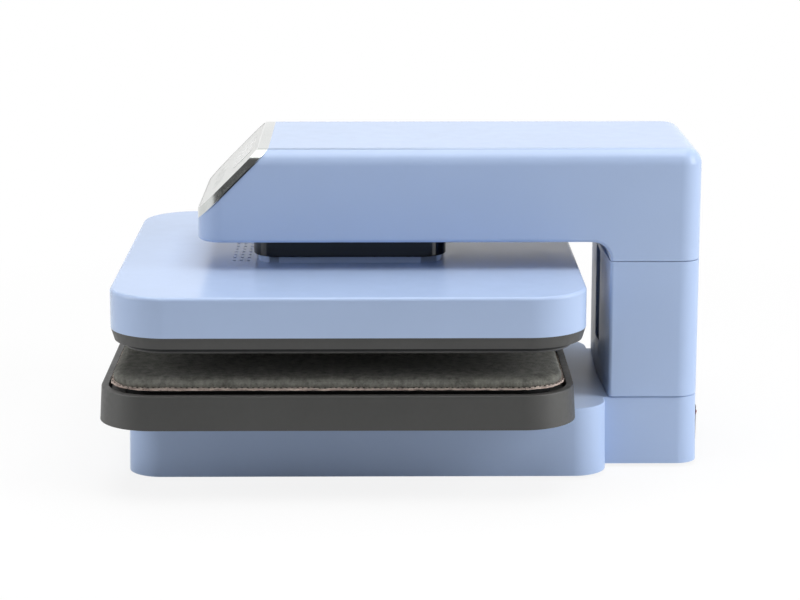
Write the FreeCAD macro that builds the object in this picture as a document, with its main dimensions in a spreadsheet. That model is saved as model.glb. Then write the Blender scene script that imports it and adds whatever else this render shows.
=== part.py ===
import FreeCAD, Part
import math
import os

import Sketcher

# Automatic heat press, desk-top, 400 mm platen, in millimetres.
# The frame: +Z up, the sloped control panel towards -Y, the column at +Y.
# The origin is on the surface it stands on, in the middle of its plan.

V = FreeCAD.Vector

SIZES = {
    "foot_height": 3.0,
    "foot_radius": 9.0,
    "foot_taper": 1.0,
    "foot_side_inset": 22.5,
    "foot_front_inset": 14.9,
    "foot_shoulder_inset": 31.9,
    "foot_sink_radius": 3.4,
    "foot_screw_radius": 1.5,
    "screw_play": 0.2,
    "pilot_play": 0.1,
    "head_radius": 3.0,
    "base_width": 261.0,
    "base_front": 240.9,
    "base_shoulder": 173.9,
    "base_height": 60.0,
    "base_flare": 1.0,
    "base_corner": 30.0,
    "base_edge": 1.2,
    "base_plate_gauge": 2.0,
    "base_vent_width": 5.0,
    "base_vent_length": 60.0,
    "base_vent_pitch": 14.0,
    "base_vent_count": 7.0,
    "base_vent_y": 60.0,
    "boss_radius": 5.0,
    "boss_inset": 14.0,
    "boss_middle": 30.0,
    "boss_bore": 14.0,
    "column_width": 184.0,
    "column_front": 176.8,
    "column_rear": 255.3,
    "column_height": 122.3,
    "column_corner": 19.0,
    "column_bulge": 2.5,
    "vent_width": 37.0,
    "vent_height": 83.0,
    "vent_rise": 27.5,
    "vent_recess": 5.0,
    "vent_louvre": 2.0,
    "vent_pitch": 6.0,
    "vent_count": 13.0,
    "vent_lap": 6.0,
    "vent_frame": 1.5,
    "arm_front": 180.2,
    "arm_rise": 16.7,
    "arm_height": 79.2,
    "arm_slope": 53.3,
    "arm_corner": 24.0,
    "arm_edge": 14.0,
    "lower_edge": 3.0,
    "throat_corner": 16.0,
    "wall": 3.0,
    "seam_gap": 0.2,
    "seam_edge": 0.6,
    "fine_edge": 1.0,
    "bezel_depth": 6.2,
    "bezel_lip": 1.4,
    "bezel_ledge": 7.0,
    "glass_depth": 2.6,
    "glass_sink": 0.2,
    "display_width": 120.0,
    "display_height": 46.0,
    "platen_side": 400.0,
    "platen_back": 49.0,
    "platen_corner": 50.0,
    "cover_height": 33.9,
    "cover_edge": 3.0,
    "cover_vent_radius": 1.7,
    "cover_vent_gap": 4.3,
    "cover_vent_step": 6.4,
    "cover_vent_pitch": 12.8,
    "cover_vent_rows": 8.0,
    "skirt_height": 9.9,
    "skirt_taper": 3.0,
    "skirt_width": 10.0,
    "hot_plate_gap": 2.0,
    "hot_plate_gauge": 15.0,
    "hot_plate_drop": 5.9,
    "element_radius": 3.5,
    "element_reach": 110.0,
    "element_pitch": 84.0,
    "element_tail": 30.0,
    "hot_plate_break": 1.0,
    "cutout_radius": 9.0,
    "cutout_height": 5.0,
    "cutout_cap_radius": 6.0,
    "cutout_cap_height": 7.0,
    "cutout_wing_span": 34.0,
    "cutout_wing_width": 8.0,
    "cutout_wing_gauge": 1.0,
    "board_gauge": 8.0,
    "board_gap": 5.0,
    "board_hole": 26.0,
    "press_gap": 20.0,
    "press_rest": 0.4,
    "tray_side": 402.0,
    "tray_flare": 1.7,
    "tray_height": 30.8,
    "tray_corner": 47.0,
    "tray_back": 58.3,
    "tray_rim": 5.5,
    "tray_recess": 8.5,
    "tray_lift": 0.5,
    "tray_travel": 240.0,
    "tray_floor": 3.0,
    "tray_rib": 2.4,
    "rib_inner": 30.0,
    "rib_middle": 130.0,
    "rib_outer": 160.0,
    "rib_end": 15.0,
    "pad_gap": 3.3,
    "pad_height": 20.4,
    "pad_crown": 1.2,
    "pad_waist": 1.5,
    "pad_sheet": 2.5,
    "pad_hem": 12.0,
    "rail_x": 76.0,
    "rail_height": 15.0,
    "rail_end": 21.0,
    "rail_gauge": 2.0,
    "rail_reach": 10.0,
    "rail_gap": 0.4,
    "mid_gauge": 1.6,
    "beam_half": 66.0,
    "beam_gauge": 6.0,
    "beam_front": 214.0,
    "beam_rear": 229.3,
    "beam_hole_radius": 15.0,
    "beam_hole_pitch": 60.0,
    "beam_hole_count": 6.0,
    "post_depth": 42.0,
    "post_hole_radius": 13.0,
    "post_hole_pitch": 40.0,
    "arm_beam_front": 119.0,
    "arm_beam_lift": 7.0,
    "arm_beam_floor": 8.0,
    "arm_beam_side": 46.0,
    "arm_hole_radius": 14.0,
    "arm_hole_pitch": 50.0,
    "arm_hole_middle": 140.0,
    "arm_hole_rise": 24.0,
    "rod_radius": 8.0,
    "rod_x": 36.0,
    "rod_y": 62.0,
    "rod_length": 102.0,
    "running_fit": 0.05,
    "bush_wall": 3.0,
    "bush_length": 24.0,
    "bush_flange": 3.0,
    "screw_radius": 8.0,
    "screw_neck": 6.0,
    "screw_lead": 8.0,
    "bearing_wall": 8.0,
    "gear_module": 1.5,
    "wheel_teeth": 48.0,
    "pinion_teeth": 18.0,
    "gear_face": 10.0,
    "gear_lift": 6.0,
    "gear_backlash": 0.2,
    "pinion_shaft": 4.0,
    "pillar_height": 22.0,
    "pillar_radius": 5.0,
    "pillar_x": 50.0,
    "pillar_reach": 32.0,
    "gearbox_gauge": 6.0,
    "gearbox_margin": 8.0,
    "motor_radius": 25.0,
    "motor_height": 30.0,
    "bridge_side": 234.0,
    "bridge_gauge": 6.0,
    "bridge_drop": 8.2,
    "bridge_corner": 18.0,
    "bridge_window_width": 26.0,
    "bridge_window_length": 100.0,
    "bridge_window_x": 82.0,
    "bridge_window_corner": 8.0,
    "collar_wall": 5.0,
    "collar_height": 6.0,
    "standoff_radius": 7.0,
    "standoff_x": 100.0,
    "nut_radius": 14.0,
    "nut_flange": 24.0,
    "ram_length": 162.0,
    "ram_width": 112.0,
    "ram_corner": 20.0,
    "ram_height": 40.0,
    "ram_flange": 10.0,
    "shroud_gap": 0.75,
    "shroud_drop": 19.2,
    "circuit_gauge": 1.6,
    "spacer_radius": 3.0,
    "spacer_inset": 6.0,
    "control_width": 90.0,
    "control_length": 110.0,
    "control_middle": 131.0,
    "control_lift": 6.0,
    "supply_width": 84.0,
    "supply_length": 100.0,
    "supply_middle": 150.0,
    "supply_lift": 5.0,
    "inlet_width": 27.0,
    "inlet_height": 20.0,
    "inlet_depth": 20.0,
    "inlet_x": 10.0,
    "inlet_rise": 24.0,
    "switch_width": 21.0,
    "switch_height": 28.0,
    "switch_x": 48.0,
    "switch_depth": 18.0,
    "rocker_tilt": 8.0,
}


class Size:
    """A size with its value and the expression that the document keeps."""

    def __init__(self, value, text):
        self.value = float(value)
        self.text = text

    def __add__(self, other):
        other = as_size(other)
        return Size(self.value + other.value, f"({self.text} + {other.text})")

    def __radd__(self, other):
        return as_size(other) + self

    def __sub__(self, other):
        other = as_size(other)
        return Size(self.value - other.value, f"({self.text} - {other.text})")

    def __rsub__(self, other):
        return as_size(other) - self

    def __mul__(self, other):
        other = as_size(other)
        return Size(self.value * other.value, f"({self.text} * {other.text})")

    def __rmul__(self, other):
        return as_size(other) * self

    def __truediv__(self, other):
        other = as_size(other)
        return Size(self.value / other.value, f"({self.text} / {other.text})")

    def __neg__(self):
        return Size(-self.value, f"(-1 * {self.text})")

    def at_most(self, other):
        other = as_size(other)
        return Size(min(self.value, other.value), f"min({self.text}; {other.text})")


def as_size(value):
    """A plain number becomes a size with itself as its expression."""
    return value if isinstance(value, Size) else Size(value, repr(float(value)))


class SizeSheet:
    """The sheet of driving sizes: one named cell each."""

    def __init__(self, doc):
        sheet = doc.addObject("Spreadsheet::Sheet", "Sizes")
        for row, (name, value) in enumerate(SIZES.items(), start=1):
            sheet.set(f"A{row}", name)
            sheet.set(f"B{row}", str(value))
            sheet.setAlias(f"B{row}", name)
        doc.recompute()
        for name in SIZES:
            setattr(self, name, Size(float(sheet.get(name)), f"Sizes.{name}"))


doc = FreeCAD.newDocument("heat_press")
S = SizeSheet(doc)
ROOT2 = math.sqrt(2)

# Levels, from the surface that the press stands on upwards.
BASE_TOP = S.foot_height + S.base_height
COLUMN_TOP = BASE_TOP + S.column_height
ARM_UNDER = COLUMN_TOP + S.arm_rise
ARM_TOP = ARM_UNDER + S.arm_height
TRAY_BOTTOM = BASE_TOP + S.tray_lift
TRAY_TOP = TRAY_BOTTOM + S.tray_height
TRAY_FLOOR = TRAY_TOP - S.tray_recess
PAD_TOP = TRAY_FLOOR + S.pad_height
HOT_BOTTOM = PAD_TOP + S.press_gap
HOT_TOP = HOT_BOTTOM + S.hot_plate_gauge
SKIRT_BOTTOM = HOT_BOTTOM + S.hot_plate_drop
COVER_BOTTOM = SKIRT_BOTTOM + S.skirt_height
COVER_TOP = COVER_BOTTOM + S.cover_height
BRIDGE_TOP = COVER_TOP - S.bridge_drop
BRIDGE_BOTTOM = BRIDGE_TOP - S.bridge_gauge
BEAM_TOP = BASE_TOP - S.wall
PLATE_TOP = S.foot_height + S.base_plate_gauge
ARM_BEAM_BOTTOM = ARM_UNDER + S.arm_beam_lift
ARM_BEAM_FLOOR = ARM_BEAM_BOTTOM + S.arm_beam_floor
GEAR_BOTTOM = ARM_BEAM_FLOOR + S.gear_lift
GEARBOX_BOTTOM = ARM_BEAM_FLOOR + S.pillar_height
GEARBOX_TOP = GEARBOX_BOTTOM + S.gearbox_gauge
TRAVEL = S.press_gap - S.press_rest

# Places in plan.
PLATEN_Y = -S.platen_back
TRAY_Y = -S.tray_back
GEAR_CENTRES = S.gear_module * (S.wheel_teeth + S.pinion_teeth) / 2
MOTOR_Y = PLATEN_Y + GEAR_CENTRES
SHROUD_LENGTH = S.ram_length + 2 * S.shroud_gap + 2 * S.wall
SHROUD_WIDTH = S.ram_width + 2 * S.shroud_gap + 2 * S.wall
SHROUD_CORNER = S.ram_corner + S.shroud_gap + S.wall


def bind(obj, prop, size):
    """Binds one number of an object to the sheet."""
    obj.setExpression(prop, as_size(size).text)


def place(obj, x=0.0, y=0.0, z=0.0):
    """Binds an object's place to the sheet."""
    for axis, size in zip("xyz", (x, y, z)):
        bind(obj, "Placement.Base." + axis, size)


def new_body(name):
    body = doc.addObject("PartDesign::Body", name)
    body.Label = name
    return body


def sketch_on(body, role, level=0.0, x=0.0, y=0.0):
    """An empty sketch on one of the body's own planes, moved by x, y and level."""
    sketch = body.newObject("Sketcher::SketchObject", body.Name + "_sketch")
    plane = [item for item in body.Origin.OriginFeatures if item.Role == role][0]
    sketch.AttachmentSupport = [(plane, "")]
    sketch.MapMode = "FlatFace"
    for axis, size in zip("xyz", (x, y, level)):
        bind(sketch, "AttachmentOffset.Base." + axis, size)
    return sketch


def datum(sketch, kind, *places, size):
    """Adds one dimension to a sketch and binds it."""
    size = as_size(size)
    index = sketch.addConstraint(Sketcher.Constraint(kind, *places, size.value))
    sketch.renameConstraint(index, f"size_{index}")
    sketch.setExpression(f"Constraints.size_{index}", size.text)


def polygon(sketch, corners, bulge=None):
    """A closed outline through corners; bulge makes its first side an arc of that rise."""
    first = sketch.GeometryCount
    points = [V(as_size(x).value, as_size(y).value, 0) for x, y in corners]
    count = len(points)
    for index, start in enumerate(points):
        end = points[(index + 1) % count]
        if bulge and index == 0:
            middle = (start + end) / 2 + V(0, -bulge.value, 0)
            sketch.addGeometry(Part.Arc(start, middle, end), False)
        else:
            sketch.addGeometry(Part.LineSegment(start, end), False)
    for index in range(count):
        here = first + index
        after = first + (index + 1) % count
        sketch.addConstraint(Sketcher.Constraint("Coincident", here, 2, after, 1))
    for index, (x, y) in enumerate(corners):
        datum(sketch, "DistanceX", -1, 1, first + index, 1, size=x)
        datum(sketch, "DistanceY", -1, 1, first + index, 1, size=y)
    if bulge:
        chord = as_size(corners[1][0]) - corners[0][0]
        datum(sketch, "Radius", first, size=chord * chord / (8 * bulge) + bulge / 2)


def rectangle(sketch, width, depth, corner=None, x=0.0, y=0.0):
    """A rectangle round the point x, y, with rounded corners where corner is given."""
    half_w = as_size(width) / 2
    half_d = as_size(depth) / 2
    if corner is None:
        polygon(sketch, [(x - half_w, y - half_d), (x + half_w, y - half_d),
                         (x + half_w, y + half_d), (x - half_w, y + half_d)])
        return
    first = sketch.GeometryCount
    cx, cy = as_size(x), as_size(y)
    w, d, r = half_w.value, half_d.value, as_size(corner).value
    turns = [(1, -1, -90), (1, 1, 0), (-1, 1, 90), (-1, -1, 180)]
    centres = [V(cx.value + i * (w - r), cy.value + j * (d - r), 0) for i, j, _ in turns]
    for (_, _, start), centre in zip(turns, centres):
        circle = Part.Circle(centre, V(0, 0, 1), r)
        arc = Part.ArcOfCircle(circle, math.radians(start), math.radians(start + 90))
        sketch.addGeometry(arc, False)
    sides = [(0, -1), (1, 0), (0, 1), (-1, 0)]
    for index, (i, j) in enumerate(sides):
        a = centres[index - 1] + V(i * r, j * r, 0)
        b = centres[index] + V(i * r, j * r, 0)
        sketch.addGeometry(Part.LineSegment(a, b), False)
    for index in range(4):
        line = first + 4 + index
        sketch.addConstraint(Sketcher.Constraint("Tangent", first + (index - 1) % 4, 2, line, 1))
        sketch.addConstraint(Sketcher.Constraint("Tangent", line, 2, first + index, 1))
        kind = "Horizontal" if index % 2 == 0 else "Vertical"
        sketch.addConstraint(Sketcher.Constraint(kind, line))
    for index in range(1, 4):
        sketch.addConstraint(Sketcher.Constraint("Equal", first, first + index))
    datum(sketch, "Radius", first, size=corner)
    datum(sketch, "DistanceY", -1, 1, first + 4, 1, size=cy - half_d)
    datum(sketch, "DistanceX", -1, 1, first + 5, 1, size=cx + half_w)
    datum(sketch, "DistanceY", -1, 1, first + 6, 1, size=cy + half_d)
    datum(sketch, "DistanceX", -1, 1, first + 7, 1, size=cx - half_w)


def circles(sketch, places, radius):
    """Circles of one radius at the places."""
    for x, y in places:
        index = sketch.GeometryCount
        centre = V(as_size(x).value, as_size(y).value, 0)
        sketch.addGeometry(Part.Circle(centre, V(0, 0, 1), as_size(radius).value), False)
        datum(sketch, "DistanceX", -1, 1, index, 3, size=x)
        datum(sketch, "DistanceY", -1, 1, index, 3, size=y)
        datum(sketch, "Radius", index, size=radius)


def pad(body, sketch, length, reverse=False, both=False, taper=None):
    feature = body.newObject("PartDesign::Pad", body.Name + "_pad")
    feature.Profile = sketch
    bind(feature, "Length", length)
    feature.Reversed = reverse
    if both:
        feature.SideType = "Symmetric"
    if taper:
        feature.setExpression("TaperAngle", taper)
    doc.recompute()
    return feature


def pocket(body, sketch, length, reverse=False, both=False):
    """Cuts a sketch into the body, and stops if it cut nothing."""
    before = body.Shape.Volume
    feature = body.newObject("PartDesign::Pocket", body.Name + "_pocket")
    feature.Profile = sketch
    bind(feature, "Length", length)
    feature.Reversed = reverse
    if both:
        feature.SideType = "Symmetric"
    doc.recompute()
    if not body.Shape.Volume < before:
        raise ValueError(f"a pocket of {body.Name} cut nothing")
    return feature


def fillet(body, radius, wanted):
    """Rounds the edges of the body's last feature whose middle point is wanted."""
    tip = body.Tip
    names = [f"Edge{number}" for number, edge in enumerate(tip.Shape.Edges, start=1)
             if wanted(edge)]
    if not names:
        raise ValueError(f"no edge to round on {body.Name}")
    feature = body.newObject("PartDesign::Fillet", body.Name + "_fillet")
    feature.Base = (tip, names)
    bind(feature, "Radius", radius)
    doc.recompute()
    return feature


def middle(edge):
    return edge.valueAt((edge.FirstParameter + edge.LastParameter) / 2)


def near_vertical(edge):
    """True for an edge that stands up, also with draft."""
    run = edge.Vertexes[-1].Point - edge.Vertexes[0].Point
    return abs(run.z) > 0.9 * edge.Length


def at_height(edge, level):
    box = edge.BoundBox
    return abs(box.ZMin - level.value) < 0.01 and abs(box.ZMax - level.value) < 0.01


def cylinder(name, radius, height, x=0.0, y=0.0, z=0.0):
    """A round bar or disc that stands at x, y, z."""
    item = doc.addObject("Part::Cylinder", name)
    bind(item, "Radius", radius)
    bind(item, "Height", height)
    place(item, x, y, z)
    return item


def box(name, length, width, height, x=0.0, y=0.0, z=0.0):
    """A block from its lowest corner x, y, z."""
    item = doc.addObject("Part::Box", name)
    bind(item, "Length", length)
    bind(item, "Width", width)
    bind(item, "Height", height)
    place(item, x, y, z)
    return item


def cut(name, base, tool):
    item = doc.addObject("Part::Cut", name)
    item.Base = base
    item.Tool = tool
    item.Label = name
    doc.recompute()
    return item


def fuse(name, *parts):
    item = doc.addObject("Part::MultiFuse", name)
    item.Shapes = list(parts)
    item.Refine = True
    item.Label = name
    doc.recompute()
    return item


def common(name, first, second):
    item = doc.addObject("Part::MultiCommon", name)
    item.Shapes = [first, second]
    item.Label = name
    doc.recompute()
    return item


def group(name, parts):
    """Like pieces that share one node."""
    item = doc.addObject("Part::Compound", name)
    item.Links = parts
    item.Label = name
    doc.recompute()
    return item


def four(x, y, centre=0.0):
    """Four places round a centre on the plan's middle line."""
    return [(i * as_size(x), centre + j * as_size(y)) for i in (-1, 1) for j in (-1, 1)]


def spread(count, pitch):
    """Places at one pitch, evenly to both sides of nought."""
    count = int(as_size(count).value)
    return [(index - (count - 1) / 2) * as_size(pitch) for index in range(count)]


INLET_Z = S.foot_height + S.inlet_rise
SWITCH_Z = S.foot_height + S.inlet_rise + S.switch_height / 2 - S.inlet_height / 2
VENT_Z = BASE_TOP + S.vent_rise + S.vent_height / 2
FOOT_SINK = S.foot_height / 2
SHROUD_BOTTOM = ARM_UNDER - S.shroud_drop
SHROUD_FLANGE = as_size(2.0)
SCREW_BOTTOM = BRIDGE_BOTTOM - TRAVEL + 14
NUT_HEIGHT = as_size(30.0)
NUT_FLANGE_GAUGE = as_size(5.0)
MOTOR_SPIGOT = S.motor_radius / 2
MOTOR_GRIP = as_size(16.0)
INLET_FLANGE = as_size(1.6)
SWITCH_FLANGE = as_size(1.6)
ROCKER_SINK = as_size(4.0)
ROCKER_PIN = as_size(1.6)
RAIL_FOOT = as_size(11.0)
TRAY_SEAT = S.tray_side - 2 * S.tray_flare - 2 * S.tray_rim
SEAT_CORNER = S.tray_corner - S.tray_rim
PAD_SIDE = TRAY_SEAT - 2 * S.pad_gap
PAD_CORNER = SEAT_CORNER - S.pad_gap
RAIL_LENGTH = S.tray_side - 2 * S.rail_end
HOT_SIDE = S.platen_side - 2 * S.skirt_width - 2 * S.hot_plate_gap
HOT_CORNER = S.platen_corner - S.skirt_width - S.hot_plate_gap
SHOULDER_CORNER = S.base_corner.at_most((S.base_width - S.column_width) / 2 - 2)
COVER_WIDTH = S.column_width - 2 * S.wall - 6
COVER_LENGTH = S.arm_front + S.column_front - S.throat_corner - 2 * S.wall - 12
COVER_CORNER = S.arm_corner - S.wall
COVER_Y = -S.arm_front + S.wall + 3 + COVER_LENGTH / 2
FOOT_X = S.base_width / 2 - S.foot_side_inset
FOOT_FRONT = S.foot_front_inset - S.base_front
FOOT_REAR = S.base_shoulder - S.foot_shoulder_inset
FEET = [(i * FOOT_X, y) for i in (-1, 1) for y in (FOOT_FRONT, FOOT_REAR)]
BOSS_ROWS = (-S.base_front * 0.6, -S.boss_middle, S.base_shoulder * 0.5)
BOSSES = [(i * (S.base_width / 2 - S.boss_inset), y) for i in (-1, 1) for y in BOSS_ROWS]
RODS = four(S.rod_x, S.rod_y, PLATEN_Y)
PILLAR_ROWS = (PLATEN_Y - S.pillar_reach, MOTOR_Y + S.pillar_reach)
PILLARS = [(i * S.pillar_x, y) for i in (-1, 1) for y in PILLAR_ROWS]
STANDOFFS = four(S.standoff_x, S.element_pitch, PLATEN_Y)


def tee_corners(inset):
    """The base's plan: a wide body with the column's narrower foot behind it."""
    wide = S.base_width / 2 - inset
    narrow = S.column_width / 2 - inset
    front = -S.base_front + inset
    shoulder = S.base_shoulder - inset
    rear = S.column_rear + S.base_flare - inset
    return [(-wide, front), (wide, front), (wide, shoulder), (narrow, shoulder),
            (narrow, rear), (-narrow, rear), (-narrow, shoulder), (-wide, shoulder)]


def round_tee(body, inset):
    """Rounds the plan's outer corners, the two at the rear with the column's radius."""
    corners = tee_corners(inset)

    def beside(edge, indexes):
        point = middle(edge)
        return near_vertical(edge) and any(
            math.hypot(point.x - corners[i][0].value, point.y - corners[i][1].value) < 1.5
            for i in indexes)

    fillet(body, S.base_corner - inset, lambda edge: beside(edge, (0, 1)))
    fillet(body, SHOULDER_CORNER - inset, lambda edge: beside(edge, (2, 7)))
    fillet(body, S.column_corner - inset, lambda edge: beside(edge, (4, 5)))


def base_shell():
    """The moulded base, open below, with bosses, a post window and rear cut-outs."""
    body = new_body("base_shell")
    sketch = sketch_on(body, "XY_Plane", S.foot_height)
    polygon(sketch, tee_corners(0.0))
    taper = f"-atan({S.base_flare.text} / {S.base_height.text})"
    pad(body, sketch, S.base_height, taper=taper)
    hollow = sketch_on(body, "XY_Plane", S.foot_height)
    polygon(hollow, tee_corners(S.wall + S.base_flare))
    pocket(body, hollow, S.base_height - S.wall, reverse=True)
    round_tee(body, S.wall + S.base_flare)
    round_tee(body, 0.0)
    fillet(body, S.base_edge, lambda edge: at_height(edge, BASE_TOP))
    bosses = sketch_on(body, "XY_Plane", PLATE_TOP)
    circles(bosses, BOSSES, S.boss_radius)
    pad(body, bosses, BEAM_TOP - PLATE_TOP)
    pilot = sketch_on(body, "XY_Plane", PLATE_TOP)
    circles(pilot, BOSSES, S.foot_screw_radius + S.pilot_play)
    pocket(body, pilot, S.boss_bore, reverse=True)
    window = sketch_on(body, "XY_Plane", BASE_TOP + 1)
    post_middle = S.beam_rear - S.post_depth / 2
    rectangle(window, 2 * S.beam_half + 1, S.post_depth + 1, y=post_middle)
    pocket(body, window, S.wall + 2)
    rear = sketch_on(body, "XZ_Plane", -(S.column_rear + S.base_flare + 1))
    gap = 2 * S.seam_gap
    rectangle(rear, S.inlet_width + gap, S.inlet_height + gap, x=-S.inlet_x, y=INLET_Z)
    rectangle(rear, S.switch_width + gap, S.switch_height + gap, x=S.switch_x, y=SWITCH_Z)
    pocket(body, rear, S.wall + S.base_flare + 3, reverse=True)
    return body


def base_plate():
    """The steel floor with its air slots and screw holes."""
    body = new_body("base_plate")
    inset = S.wall + S.base_flare + S.seam_gap
    sketch = sketch_on(body, "XY_Plane", S.foot_height)
    polygon(sketch, tee_corners(inset))
    pad(body, sketch, S.base_plate_gauge)
    round_tee(body, inset)
    holes = sketch_on(body, "XY_Plane", PLATE_TOP)
    circles(holes, FEET + BOSSES, S.foot_screw_radius + S.screw_play)
    for x in spread(S.base_vent_count, S.base_vent_pitch):
        rectangle(holes, S.base_vent_width, S.base_vent_length, x=x, y=S.base_vent_y)
    pocket(body, holes, S.base_plate_gauge + 1)
    return body


def rubber_feet():
    """Four tapered feet, each with a sunk hole for its screw."""
    feet = []
    for index, (x, y) in enumerate(FEET):
        cone = doc.addObject("Part::Cone", f"foot_cone_{index}")
        bind(cone, "Radius1", S.foot_radius - S.foot_taper)
        bind(cone, "Radius2", S.foot_radius)
        bind(cone, "Height", S.foot_height)
        place(cone, x, y)
        sink = cylinder(f"foot_sink_{index}", S.foot_sink_radius, FOOT_SINK, x, y)
        bore = S.foot_screw_radius + S.screw_play
        hole = cylinder(f"foot_hole_{index}", bore, S.foot_height, x, y)
        feet.append(cut(f"foot_{index}", cone, fuse(f"foot_tools_{index}", sink, hole)))
    return group("rubber_feet", feet)


def pan_screws(name, places, head_bottom, head_height, shank, down=False):
    """Pan-head screws: head from head_bottom up, shank above it, or below it if down."""
    items = []
    for index, (x, y) in enumerate(places):
        head = cylinder(f"{name}_head_{index}", S.head_radius, head_height, x, y, head_bottom)
        start = head_bottom - shank if down else head_bottom + head_height
        bar = cylinder(f"{name}_bar_{index}", S.foot_screw_radius, shank, x, y, start)
        items.append(fuse(f"{name}_{index}", head, bar))
    return group(name, items)


def channel(body, role, half, gauge, low, high, open_down):
    """The outline of a channel: two flanges joined by one web."""
    web, tips = (high, low) if open_down else (low, high)
    inner = web - gauge if open_down else web + gauge
    sketch = sketch_on(body, role)
    polygon(sketch, [(-half, tips), (-half + gauge, tips), (-half + gauge, inner),
                     (half - gauge, inner), (half - gauge, tips), (half, tips),
                     (half, web), (-half, web)])
    return sketch


def base_beam():
    """The folded steel channel under the deck, with lightening holes."""
    body = new_body("base_beam")
    sketch = channel(body, "XZ_Plane", S.beam_half, S.beam_gauge, PLATE_TOP, BEAM_TOP, True)
    bind(sketch, "AttachmentOffset.Base.z", -S.beam_rear)
    pad(body, sketch, S.beam_front + S.beam_rear)
    holes = sketch_on(body, "YZ_Plane")
    centre = (PLATE_TOP + BEAM_TOP) / 2
    circles(holes, [(y, centre) for y in spread(S.beam_hole_count, S.beam_hole_pitch)],
            S.beam_hole_radius)
    pocket(body, holes, 2 * S.beam_half + 2, both=True)
    return body


def column_posts():
    """The steel channel inside the column, from the base beam to the arm beam."""
    body = new_body("column_posts")
    front = S.beam_rear - S.post_depth
    sketch = channel(body, "XY_Plane", S.beam_half, S.beam_gauge, front, S.beam_rear, True)
    bind(sketch, "AttachmentOffset.Base.z", BEAM_TOP)
    pad(body, sketch, ARM_BEAM_BOTTOM - BEAM_TOP)
    holes = sketch_on(body, "XZ_Plane", -(S.beam_rear + 1))
    centre = (BEAM_TOP + ARM_BEAM_BOTTOM) / 2
    circles(holes, [(0.0, centre + rise) for rise in spread(3, S.post_hole_pitch)],
            S.post_hole_radius)
    pocket(body, holes, S.beam_gauge + 2, reverse=True)
    return body


def arm_beam():
    """The steel channel of the arm: floor plate, sloped flanges and machined holes."""
    body = new_body("arm_beam")
    top = ARM_BEAM_FLOOR + S.arm_beam_side
    sketch = channel(body, "XZ_Plane", S.beam_half, S.beam_gauge, ARM_BEAM_BOTTOM, top, False)
    bind(sketch, "AttachmentOffset.Base.z", -S.beam_rear)
    pad(body, sketch, S.arm_beam_front + S.beam_rear)
    floor = sketch_on(body, "XY_Plane", ARM_BEAM_BOTTOM)
    rectangle(floor, 2 * S.beam_half, S.arm_beam_front + S.beam_rear,
              y=(S.beam_rear - S.arm_beam_front) / 2)
    pad(body, floor, S.arm_beam_floor)
    nose = sketch_on(body, "YZ_Plane")
    lip = ARM_BEAM_FLOOR + 4
    front = -S.arm_beam_front
    polygon(nose, [(front - 1, lip), (front, lip), (front + S.arm_beam_side, top + 1),
                   (front - 1, top + 1)])
    pocket(body, nose, 2 * S.beam_half + 2, both=True)
    bores = sketch_on(body, "XY_Plane", ARM_BEAM_FLOOR + 1)
    circles(bores, RODS, S.rod_radius + S.running_fit + S.bush_wall)
    circles(bores, [(0.0, PLATEN_Y)], S.screw_radius + S.running_fit + S.bearing_wall)
    pocket(body, bores, S.arm_beam_floor + 2)
    windows = sketch_on(body, "YZ_Plane")
    level = ARM_BEAM_FLOOR + S.arm_hole_rise
    circles(windows, [(S.arm_hole_middle + y, level) for y in spread(3, S.arm_hole_pitch)],
            S.arm_hole_radius)
    pocket(body, windows, 2 * S.beam_half + 2, both=True)
    return body


def column_shell():
    """The moulded column: bowed front with the vent window, rounded rear, open ends."""
    body = new_body("column_shell")
    half = S.column_width / 2
    sketch = sketch_on(body, "XY_Plane", BASE_TOP)
    polygon(sketch, [(-half, S.column_front), (half, S.column_front),
                     (half, S.column_rear), (-half, S.column_rear)], bulge=S.column_bulge)
    pad(body, sketch, S.column_height)
    fillet(body, S.column_corner,
           lambda edge: near_vertical(edge) and middle(edge).y > S.column_rear.value - 1)
    fillet(body, S.lower_edge,
           lambda edge: near_vertical(edge) and abs(middle(edge).y - S.column_front.value) < 0.1
           and abs(abs(middle(edge).x) - half.value) < 0.1)
    fillet(body, S.seam_edge, lambda edge: at_height(edge, BASE_TOP) or at_height(edge, COLUMN_TOP))
    hollow = sketch_on(body, "XY_Plane", COLUMN_TOP + 1)
    depth = S.column_rear - S.column_front - 2 * S.wall
    rectangle(hollow, S.column_width - 2 * S.wall, depth, S.column_corner - S.wall,
              y=(S.column_rear + S.column_front) / 2)
    pocket(body, hollow, S.column_height + 2)
    slot = sketch_on(body, "XZ_Plane", -(S.column_front + S.wall + 1))
    rectangle(slot, S.vent_width, S.vent_height, y=VENT_Z)
    pocket(body, slot, S.wall + S.column_bulge + 3, reverse=True)
    return body


def column_vent():
    """The dark insert behind the column's window: flange, sunk frame and louvres."""
    body = new_body("column_vent")
    seat = S.column_front + S.wall
    outer = sketch_on(body, "XZ_Plane", -(seat + S.vent_recess + 2))
    lap = 2 * S.vent_lap
    rectangle(outer, S.vent_width + lap, S.vent_height + lap, y=VENT_Z)
    pad(body, outer, S.vent_recess + 2)
    hole = sketch_on(body, "XZ_Plane", -(seat - 1))
    frame = 2 * S.vent_frame
    rectangle(hole, S.vent_width - frame, S.vent_height - frame, y=VENT_Z)
    pocket(body, hole, S.vent_recess + 4)
    louvres = sketch_on(body, "XZ_Plane", -(seat + S.vent_recess + 2))
    for rise in spread(S.vent_count, S.vent_pitch):
        rectangle(louvres, S.vent_width - S.vent_frame, S.vent_louvre, y=VENT_Z + rise)
    pad(body, louvres, S.vent_recess)
    return body


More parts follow.
